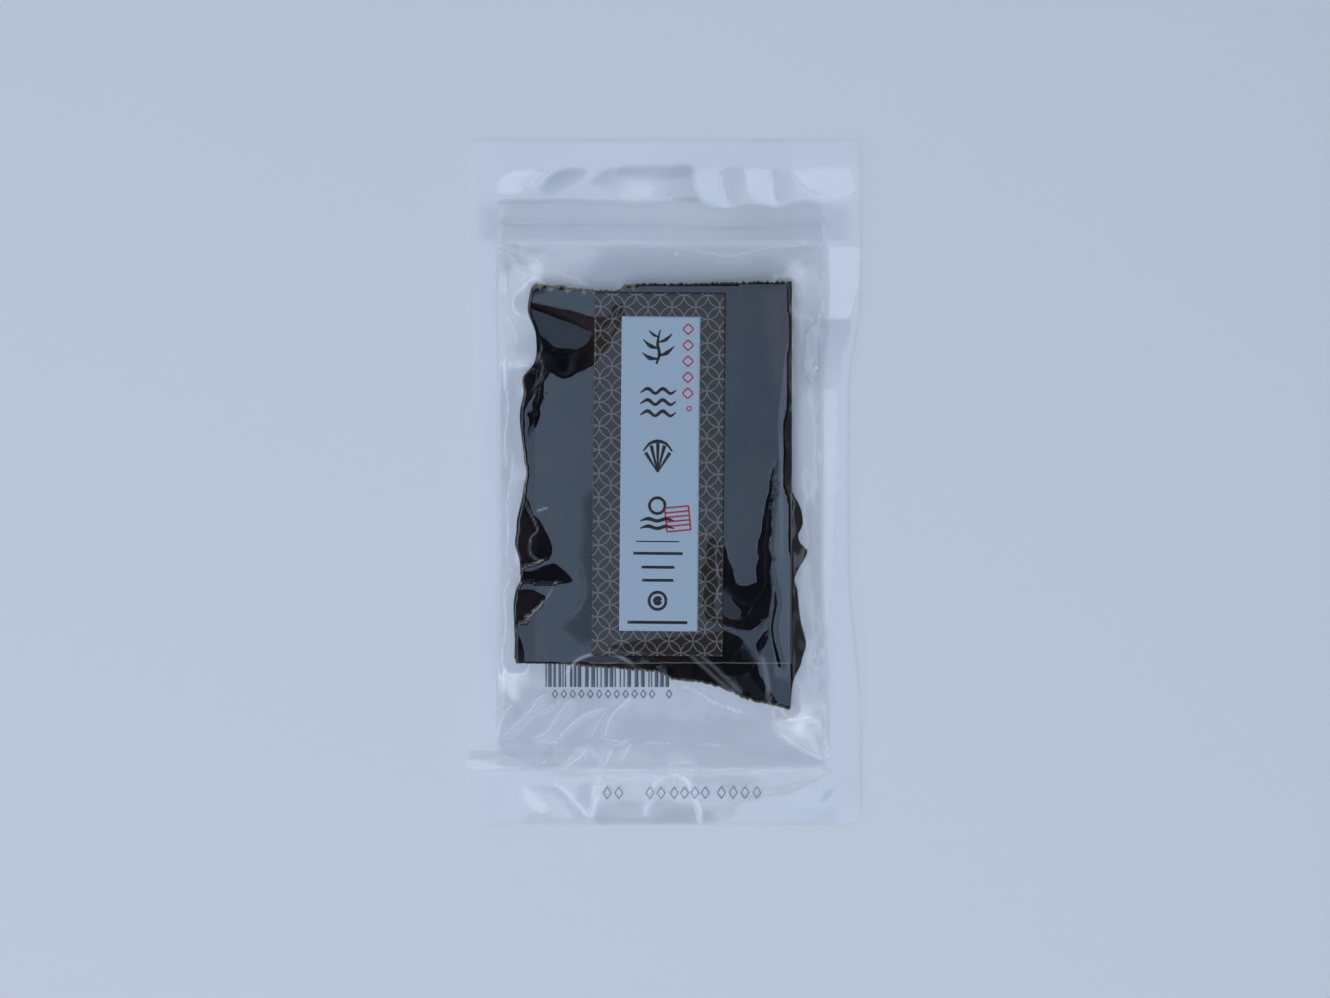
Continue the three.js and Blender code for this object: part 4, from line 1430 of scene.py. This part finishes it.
relief = add(
    tree,
    "ShaderNodeBump",
    {"Strength": 0.4, "Distance": FIBRE_RELIEF * MM, "Height": fibres.outputs["Fac"]},
)
skin = add(
    tree,
    "ShaderNodeBsdfPrincipled",
    {
        "Base Color": skin_colour.outputs["Result"],
        "Roughness": 0.5,
        "Specular IOR Level": 0.06,
        "Normal": relief.outputs[0],
    },
)
finish_material(tree, skin)
print(f"fibres {1 / FIBRES_PER_MM[0]:.1f} mm apart and {1 / FIBRES_PER_MM[1]:.0f} mm long")

# %% Cut flesh
kelp_cut, tree = new_material("cut kelp flesh")
flesh = add(tree, "ShaderNodeBsdfPrincipled", {"Base Color": linear("#453f33"), "Roughness": 0.8})
finish_material(tree, flesh)

# %% [markdown]
# ## Blades
#
# Each blade is a grid between four edges. Its points are put on the edges by a few rounds of
# fitting, because each edge is a function of the place along it. The upper face keeps under the
# film, which presses on it, and the lower face keeps above the back film. The blades overlap
# like roof tiles, so each shows a strip of its own at another side.

# %% Brown places of the skin
# Where the skin is thin and brown: share, softness, outline
BROWNS = [
    (0.55, 1.0, [(-37, 50.2), (-31, 47.9), (-23.3, 46), (-12, 46.5), (-12.5, 40), (-18.5, 39), (-21, 41),
                (-24.4, 43), (-30, 45.8), (-36.7, 48.6)]),
    (0.6, 2.0, [(27, 51), (34, 51), (34, 26), (30, 26), (28, 38)]),
    (0.22, 1.6, [(-41, -8), (-37.2, -9), (-35, -12), (-34.6, -17), (-36, -21), (-41, -21)]),
    (0.25, 1.6, [(-41, -30), (-34, -29.6), (-35, -33), (-38, -37), (-41, -38)]),
    (0.35, 1.5, [(-30, -49.5), (-22, -50.5), (-6, -51.5), (-8, -48), (-20, -46)]),
    (0.3, 1.5, [(-40, -45), (-36, -46), (-34, -50), (-41, -50)]),
]
print(f"{len(BROWNS)} brown places")

# %% Blade builder
SHEET_THICKNESS = 1.8
THINNEST = 0.15
# Gaps to the front film, to the top of the stack and to the back film
KELP_GAP = 0.12
TOP_GAP = 0.35
BACK_GAP = 0.05
# About the size of a blade, for the count of its points
BLADE_SIZE = (74, 104)
JAG_COUNT = 400
JAG_REACH = 70


def jagged(values, size, seed):
    """A small seeded unevenness along an edge."""
    knots = np.random.default_rng(seed).uniform(-size, size, JAG_COUNT)
    return np.interp(values, np.linspace(-JAG_REACH, JAG_REACH, JAG_COUNT), knots)


def kelp_sheet(name, edges, depth, step, pale):
    """One blade: its edges left, right, foot and top, and how far its upper face lies under the
    top of the stack. pale says how wide the flesh shows along the foot, right and top edges."""
    left, right, foot, top = edges
    across = int(BLADE_SIZE[0] / step)
    along = int(BLADE_SIZE[1] / step)
    u, v = np.meshgrid(np.linspace(0, 1, across), np.linspace(0, 1, along))
    y = foot(0) + (top(0) - foot(0)) * v
    x = left(y) * (1 - u) + right(y) * u
    for _ in range(3):
        y = foot(x) * (1 - v) + top(x) * v
        x = left(y) * (1 - u) + right(y) * u
    film_low = front_height(x, y) - FILM - KELP_GAP
    upper = np.minimum(STACK_HEIGHT - TOP_GAP, film_low) - depth
    lower = np.maximum(upper - SHEET_THICKNESS, back_height(x, y) + BACK_GAP)
    upper = np.maximum(upper, lower + THINNEST)
    # The flesh shows in a strip of uneven width
    uneven = 0.7 + 0.6 * np.sin(x * 2.1) * np.sin(x * 0.7 + y)
    flesh_marks = np.zeros(x.shape)
    strips = ((y - foot(x), pale[0](x)), (right(y) - x, pale[1](y)), (top(x) - y, pale[2](x)))
    for distance, width in strips:
        shown = 1 - smooth(0.6 * width * uneven, width * uneven + 1e-6, distance)
        flesh_marks = np.maximum(flesh_marks, np.where(width > 0.03, shown, 0))
    brown_marks = np.zeros(x.shape)
    for share, soft, points in BROWNS:
        brown_marks = np.maximum(brown_marks, share * soft_mask(points, soft, x, y))
    marks = {"flesh": flesh_marks, "brown": brown_marks}
    made = skins(name, [(x, y, upper, lower)], [kelp_skin, kelp_skin, kelp_cut], 1, marks)
    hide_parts("pouch")


# %% Edges of each blade
# The edges of the rear blade that are out of sight are straight
REAR_LEFT = -33.5
REAR_RIGHT = 33.9


def left_outer(y):
    """The natural left edge of the stack, which the middle blade has."""
    return edge_at(LEFT_EDGE, y)


def left_inner(y):
    """The front blade's left edge, which keeps inside the stack's by an uneven step."""
    return edge_at(LEFT_EDGE, y) + 1.1 + 0.7 * np.sin(y / 5 + 1)


def rear_right(y):
    """The rear blade's right edge, natural where it shows."""
    return np.where(y > REAR_EDGE[0][1], REAR_RIGHT, edge_at(REAR_EDGE, y))


def rear_foot(x):
    """The rear blade's cut foot, which slopes down to the right."""
    return np.interp(x, *np.array(REAR_FOOT).T) + jagged(x, 0.45, 9)


def top_edge(x):
    """The cut top of the front blade. The others end a little lower."""
    return np.interp(x, *np.array(FRONT_TOP).T) + jagged(x, 0.42, 3)


def level(value):
    """A straight edge, or flesh of one width."""
    return lambda place: value + 0 * place


# %% Front blade
front_edges = (
    left_inner,
    lambda y: FRONT_RIGHT + jagged(y, 0.05, 5),
    lambda x: FRONT_FOOT + jagged(x, 0.12, 6),
    top_edge,
)
front_flesh = (
    lambda x: 0.14 * smooth(-22, -16, x),
    lambda y: 0.1 * smooth(3, -2, y),
    lambda x: np.where(x < -8, 1.5, 0.3),
)
kelp_sheet("kelp_sheet_front", front_edges, 0.0, 0.45, front_flesh)

# %% Middle blade
middle_edges = (
    left_outer,
    level(FRONT_RIGHT - 0.6),
    lambda x: FRONT_FOOT + 0.9 + jagged(x, 0.2, 8),
    lambda x: top_edge(x) - 0.4,
)
kelp_sheet("kelp_sheet_middle", middle_edges, 2.0, 0.8, (level(0), level(0), level(0)))

# %% Rear blade
rear_edges = (level(REAR_LEFT), rear_right, rear_foot, lambda x: top_edge(x) - 1.2)
kelp_sheet("kelp_sheet_rear", rear_edges, 4.0, 0.7, (level(0.1), level(0), level(0)))

# %% [markdown]
# ## Label
#
# The label is a thin printed film that lies on the front film and follows its folds. Its
# border has an old pattern of interlocking circles: each point takes the distance to the
# nearest circle of two square grids, and a thin line is drawn where that is nearly nothing.
# Its face is as smooth as the film's, so the label mirrors the lamps too.

# %% Sizes of the label
LABEL_WIDTH = 35.2
LABEL_LENGTH = 97.6
LABEL_CENTRE = (-1.6, 2.2)
LABEL_TURN = math.radians(-0.5)
# Lift over the front film, and thickness, of the label and of its pale panel
LABEL_LIFT = 0.02
LABEL_THICKNESS = 0.08
PANEL_LIFT = 0.11
PANEL_THICKNESS = 0.03
PANEL_CENTRE = (0.3, 0.07)
PANEL_SIZE = (21.1, 84.4)
LABEL_STEP = 0.5


def on_label(across, along):
    """Place on the pouch of a place on the label."""
    x = LABEL_CENTRE[0] + across * math.cos(LABEL_TURN) - along * math.sin(LABEL_TURN)
    y = LABEL_CENTRE[1] + across * math.sin(LABEL_TURN) + along * math.cos(LABEL_TURN)
    return x, y


def label_patch(name, centre, size, lift, thickness, material):
    """A thin rectangle on the label, with points close enough to follow the film's folds."""
    across = np.linspace(-size[0] / 2, size[0] / 2, int(size[0] / LABEL_STEP) + 2) + centre[0]
    along = np.linspace(-size[1] / 2, size[1] / 2, int(size[1] / LABEL_STEP) + 2) + centre[1]
    x, y = on_label(*np.meshgrid(across, along))
    low = front_height(x, y) + lift
    return skins(name, [(x, y, low + thickness, low)], [material])


# %% Circle pattern
# Radius of the circles, width of their line, and half the width over which its edge fades
CIRCLE = 3.2
LINE = 0.27
LINE_FADE = 0.07
BORDER_INK = linear("#342f29")
LINE_INK = linear("#706e6b")
LABEL_GLOSS = {"Roughness": 0.06, "Specular IOR Level": 0.5}

label_print, tree = new_material("printed polypropylene label")
place = add(tree, "ShaderNodeTexCoord").outputs["Object"]
to_middle = (-LABEL_CENTRE[0], -LABEL_CENTRE[1], 0)
flat = add(tree, "ShaderNodeMapping", {"Vector": place, "Location": to_middle, "Scale": (1 / MM, 1 / MM, 0)})
turned = add(tree, "ShaderNodeMapping", {"Vector": flat.outputs[0], "Rotation": (0, 0, -LABEL_TURN)})
cell_middle = (CIRCLE, CIRCLE, 0)
cell_size = (2 * CIRCLE, 2 * CIRCLE, 1)
distances = []
for shift in (0, CIRCLE):
    moved = add(tree, "ShaderNodeVectorMath", {0: turned.outputs[0], 1: (shift, shift, 0)}, operation="ADD")
    cell = add(tree, "ShaderNodeVectorMath", {0: moved.outputs[0], 1: cell_size}, operation="MODULO")
    positive = add(tree, "ShaderNodeVectorMath", {0: cell.outputs[0], 1: cell_size}, operation="ADD")
    wrapped = add(tree, "ShaderNodeVectorMath", {0: positive.outputs[0], 1: cell_size}, operation="MODULO")
    centred = add(tree, "ShaderNodeVectorMath", {0: wrapped.outputs[0], 1: cell_middle}, operation="SUBTRACT")
    radius = add(tree, "ShaderNodeVectorMath", {0: centred.outputs[0]}, operation="LENGTH")
    off = add(tree, "ShaderNodeMath", {0: radius.outputs["Value"], 1: CIRCLE}, operation="SUBTRACT")
    distances.append(add(tree, "ShaderNodeMath", {0: off.outputs[0]}, operation="ABSOLUTE").outputs[0])
nearest = add(tree, "ShaderNodeMath", {0: distances[0], 1: distances[1]}, operation="MINIMUM")
line = add(
    tree,
    "ShaderNodeMapRange",
    {
        "Value": nearest.outputs[0],
        "From Min": LINE / 2 - LINE_FADE,
        "From Max": LINE / 2 + LINE_FADE,
        "To Min": 1.0,
        "To Max": 0.0,
    },
)
ink_colour = add(
    tree,
    "ShaderNodeMix",
    {"Factor": line.outputs[0], "A": BORDER_INK, "B": LINE_INK},
    data_type="RGBA",
)
label_shader = add(
    tree,
    "ShaderNodeBsdfPrincipled",
    {"Base Color": ink_colour.outputs["Result"], **LABEL_GLOSS},
)
finish_material(tree, label_shader)
print(f"circles of {2 * CIRCLE} mm, lines of {LINE} mm")

# %% Label film
label_size = (LABEL_WIDTH, LABEL_LENGTH)
label = label_patch("front_label_film", (0, 0), label_size, LABEL_LIFT, LABEL_THICKNESS, label_print)
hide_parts("front_label")

# %% Pale panel
panel_print, tree = new_material("pale blue ink on polypropylene")
panel_shader = add(tree, "ShaderNodeBsdfPrincipled", {"Base Color": linear("#a3b2bd"), **LABEL_GLOSS})
finish_material(tree, panel_shader)
label_panel = label_patch("label_panel", PANEL_CENTRE, PANEL_SIZE, PANEL_LIFT, PANEL_THICKNESS, panel_print)

# %% [markdown]
# ## Printed marks
#
# The print is left generic: plain strokes that show a frond, waves, a shell and a sun over
# water. Each stroke is a thin ribbon of ink that follows the label, so one function draws them
# all from a few points and a width. Offset ink dries flat and a little duller than the film.

# %% Ink
INK_LIFT = 0.15
INK_THICKNESS = 0.03
# Points of a straight stroke, and steps between the points of a curved one, so that both follow
# the film's folds
STRAIGHT_POINTS = 12
CURVE_STEPS = 5


def ink_material(name, colour):
    """Ink of one colour that dries with a satin face."""
    made, tree = new_material(name)
    shader = add(tree, "ShaderNodeBsdfPrincipled", {"Base Color": linear(colour), "Roughness": 0.25})
    finish_material(tree, shader)
    return made


def stroke(points, width, surface, lift=INK_LIFT, place=on_label):
    """A ribbon along a smooth line. Width is a number, or one for each point."""
    if len(points) > 2:
        line = curve(points, CURVE_STEPS)
    else:
        line = np.linspace(*np.array(points, float), STRAIGHT_POINTS)
    given = np.linspace(0, 1, np.size(width))
    widths = np.interp(np.linspace(0, 1, len(line)), given, np.atleast_1d(width))
    ahead = np.gradient(line, axis=0)
    ahead /= np.hypot(*ahead.T)[:, None]
    sideways = np.stack([-ahead[:, 1], ahead[:, 0]], -1) * widths[:, None] / 2
    three = [line - sideways, line, line + sideways]
    x, y = place(*np.stack(three).transpose(2, 1, 0))
    low = surface(x, y) + lift
    return x, y, low + INK_THICKNESS, low


def shifted(strokes, dx, dy):
    """The same strokes, moved on the label."""
    return [([(px + dx, py + dy) for px, py in points], width) for points, width in strokes]


def ring(radius, x=0.0, y=0.0, parts=10):
    """Points round a circle, closed."""
    turns = np.linspace(0, 2 * math.pi, parts + 1)
    return [(x + radius * math.cos(turn), y + radius * math.sin(turn)) for turn in turns]


# %% Four marks
# Each stroke: points and widths, in millimetres round the mark's own middle
FROND = [
    ([(-0.6, -4.6), (0.2, -2), (-0.3, 1), (0.4, 4.6)], [0.5, 0.9, 0.8, 0.3]),
    ([(0.1, -2.4), (2.2, -1.6), (4.2, 0.2)], [0.4, 1.2, 0.2]),
    ([(0, -0.4), (-2.2, 0.2), (-4.2, 2)], [0.4, 1.2, 0.2]),
    ([(0, 1.2), (2, 2), (3.6, 3.6)], [0.4, 1.0, 0.2]),
    ([(0, -3.2), (-2.4, -3), (-4.4, -1.6)], [0.4, 1.2, 0.2]),
    ([(0.2, 2.6), (-1.4, 3.2), (-2.6, 4.4)], [0.3, 0.8, 0.2]),
]
WAVE_WIDTHS = [0.3, 1, 0.8, 1, 0.8, 0.3]
WAVES = []
for y in (-3.4, -0.4, 2.6):
    points = [(-4.8, y), (-2.8, y + 1.1), (-0.8, y - 0.2), (1.2, y + 1.1), (3.2, y - 0.2), (4.8, y + 0.7)]
    WAVES.append((points, WAVE_WIDTHS))
SHELL = []
for turn in np.radians([-48, -24, 0, 24, 48]):
    SHELL.append(([(0, -4), (4.4 * math.sin(turn), -4 + 7.8 * math.cos(turn))], [0.35, 1.0]))
SHELL.append(([(-3.9, 1.6), (-2.2, 3.6), (0, 4.3), (2.2, 3.6), (3.9, 1.6)], [0.4, 0.8, 0.9, 0.8, 0.4]))
SUN = [(ring(2.1, 0, 1.9), 0.8)]
for y in (-2.2, -4.2):
    SUN.append(([(-4.6, y), (-2.4, y + 0.6), (0, y), (2.4, y + 0.6), (4.6, y)], [0.3, 1, 0.9, 1, 0.3]))

# %% Dark strokes and painted edge shadow
MARKS_X = -0.3
BARS = [(6.6, -21.3), (4.4, -25), (4.2, -28.5)]
BAR_WIDTH = 0.75
# A thin dark line just inside the label's upper and right edges paints the shadow of the label's edge
LABEL_SHADOW_LINE = (LABEL_WIDTH / 2 - 0.12, LABEL_LENGTH / 2 - 0.12)
LABEL_SHADOW_WIDTH = 0.2

dark_print_and_shadow = []
for mark, mark_y in ((FROND, 34.1), (WAVES, 19.2), (SHELL, 4.5), (SUN, -10.4)):
    dark_print_and_shadow += shifted(mark, MARKS_X, mark_y)
# A thin rule, a painted shadow along the upper and right edges of the label, and three bars
dark_print_and_shadow.append(([(-5.9, -18.1), (5.7, -18.1)], 0.3))
dark_print_and_shadow.append(([(LABEL_SHADOW_LINE[0], -LABEL_SHADOW_LINE[1]), LABEL_SHADOW_LINE], LABEL_SHADOW_WIDTH))
dark_print_and_shadow.append(([(-LABEL_SHADOW_LINE[0], LABEL_SHADOW_LINE[1]), LABEL_SHADOW_LINE], LABEL_SHADOW_WIDTH))
for half_bar, y in BARS:
    dark_print_and_shadow.append(([(-half_bar, y), (half_bar, y)], BAR_WIDTH))
# A ring with a dot in it, and the last bar
dark_print_and_shadow += [(ring(2.3, 0, -34), 0.8), (ring(0.7, 0, -34, 6), 1.2), ([(-8, -39.8), (8, -39.8)], 0.8)]
print(f"{len(dark_print_and_shadow)} dark strokes")

# %% Red strokes
# A column of diamonds at the right, with a small ring under it
DIAMOND_X = 7.6
DIAMOND_WIDTH = 1.3
DIAMOND_HEIGHT = 1.4
DIAMOND_TOP = 38.9
DIAMOND_STEP = 4.3
# A square stamp with bars, a little turned
STAMP_CENTRE = (5.2, -12)
STAMP_SIZE = 3.2
STAMP_TURN = math.radians(6)
STAMP_LINE = 0.45


def on_stamp(px, py):
    """Place on the label of a place on the stamp."""
    x = STAMP_CENTRE[0] + px * math.cos(STAMP_TURN) - py * math.sin(STAMP_TURN)
    y = STAMP_CENTRE[1] + px * math.sin(STAMP_TURN) + py * math.cos(STAMP_TURN)
    return x, y


red_strokes = []
for k in range(5):
    y = DIAMOND_TOP - DIAMOND_STEP * k
    low, high = (DIAMOND_X, y - DIAMOND_HEIGHT), (DIAMOND_X, y + DIAMOND_HEIGHT)
    for side_x in (DIAMOND_X + DIAMOND_WIDTH, DIAMOND_X - DIAMOND_WIDTH):
        red_strokes.append(([low, (side_x, y), high], 0.4))
red_strokes.append((ring(0.6, 8, 17.6, 6), 0.3))
signs = [(-1, -1), (1, -1), (1, 1), (-1, 1), (-1, -1)]
corners = [(STAMP_SIZE * across, STAMP_SIZE * along) for across, along in signs]
bars = [((-STAMP_SIZE, k * 1.1), (STAMP_SIZE, k * 1.1)) for k in (-1.6, -0.5, 0.6, 1.7)]
for start, end in list(zip(corners, corners[1:])) + bars:
    red_strokes.append(([on_stamp(*start), on_stamp(*end)], STAMP_LINE))
print(f"{len(red_strokes)} red strokes")

# %% Ink on the label
dark_ink = ink_material("black offset ink", "#1d1f20")
red_ink = ink_material("red offset ink", "#b0323a")
pale_ink = ink_material("grey stamp ink", "#727c88")
# The dark piece holds the print and the painted shadow along the label's edges
for name, strokes, material, slot in (
    ("label_ink_dark_and_shadow", dark_print_and_shadow, dark_ink, "dark_ink"),
    ("label_ink_red", red_strokes, red_ink, "red_ink"),
):
    piece = skins(name, [stroke(points, width, front_height) for points, width in strokes], [material])
print("inks:", dark_ink.name, "and", red_ink.name)

# %% [markdown]
# ## Print on the pouch itself
#
# The back film bears a row of stripes that shows through the clear film below the kelp, and
# the foot seal bears a stamp. The stripes' widths are seeded and mean nothing, and plain
# diamonds stand where there would be digits. The stripes are seen through the front film and
# the stamp's ink is thin, so both look grey.

# %% Stripes on the back film
STRIPES_FROM = -32.4
STRIPES_TO = 1.8
STRIPE_ENDS = (-49.2, -55.6)
STRIPE_WIDTHS = [0.35, 0.35, 0.7, 1.0]
STRIPE_GAPS = [0.35, 0.45, 0.7, 1.0]
FILM_INK_LIFT = 0.02


def as_is(x, y):
    """The same place, for strokes that are given on the pouch itself."""
    return x, y


def print_on_film(name, strokes, surface, material):
    """One piece of ink on a film, from strokes placed on the pouch itself."""
    grids = [stroke(points, width, surface, FILM_INK_LIFT, as_is) for points, width in strokes]
    skins(name, grids, [material])


stripe_x = STRIPES_FROM
stripes = []
seeded = np.random.default_rng(11)
while stripe_x < STRIPES_TO:
    width = seeded.choice(STRIPE_WIDTHS)
    stripes.append(([(stripe_x + width / 2, end) for end in STRIPE_ENDS], width))
    stripe_x += width + seeded.choice(STRIPE_GAPS)
stripe_ink = ink_material("black ink on the back film", "#626d79")
print_on_film("back_stripes", stripes, back_height, stripe_ink)
print(f"{len(stripes)} stripes")


# %% Rows of diamonds
def diamonds(starts, foot, wide, high, width):
    """The four sides of a diamond at each start, so wide and high, with lines of this width."""
    made = []
    for x in starts:
        middle = foot + high / 2
        corners = [(x, foot), (x + wide / 2, middle), (x, foot + high), (x - wide / 2, middle), (x, foot)]
        made += [([start, end], width) for start, end in zip(corners, corners[1:])]
    return made


UNDER_STRIPES = {"foot": -58.6, "wide": 1.5, "high": 2.2, "width": 0.25}
UNDER_STRIPES_AT = [*np.linspace(-29.8, -3.4, 12), 1.2]
STAMP = {"foot": -85.8, "wide": 2.2, "high": 3.2, "width": 0.22}
STAMP_AT = [-15.6, -12.4, -4, -1, 2.6, 5.4, 8.2, 11, 15.4, 18.6, 21.8, 25]

print_on_film("back_diamonds", diamonds(UNDER_STRIPES_AT, **UNDER_STRIPES), back_height, pale_ink)
print_on_film("stamp_diamonds", diamonds(STAMP_AT, **STAMP), front_height, pale_ink)
print(f"{len(UNDER_STRIPES_AT)} diamonds under the stripes and {len(STAMP_AT)} in the stamp")

# %% [markdown]
# ## Finish
#
# The Standard view leaves the colours as they were set. A ray may pass many clear faces before
# it meets the table, and each counts as one bounce, so the limit for them is raised.

# %% Finish
CLEAR_FACES = 24

bpy.context.scene.view_settings.view_transform = "Standard"
bpy.context.scene.cycles.transparent_max_bounces = CLEAR_FACES
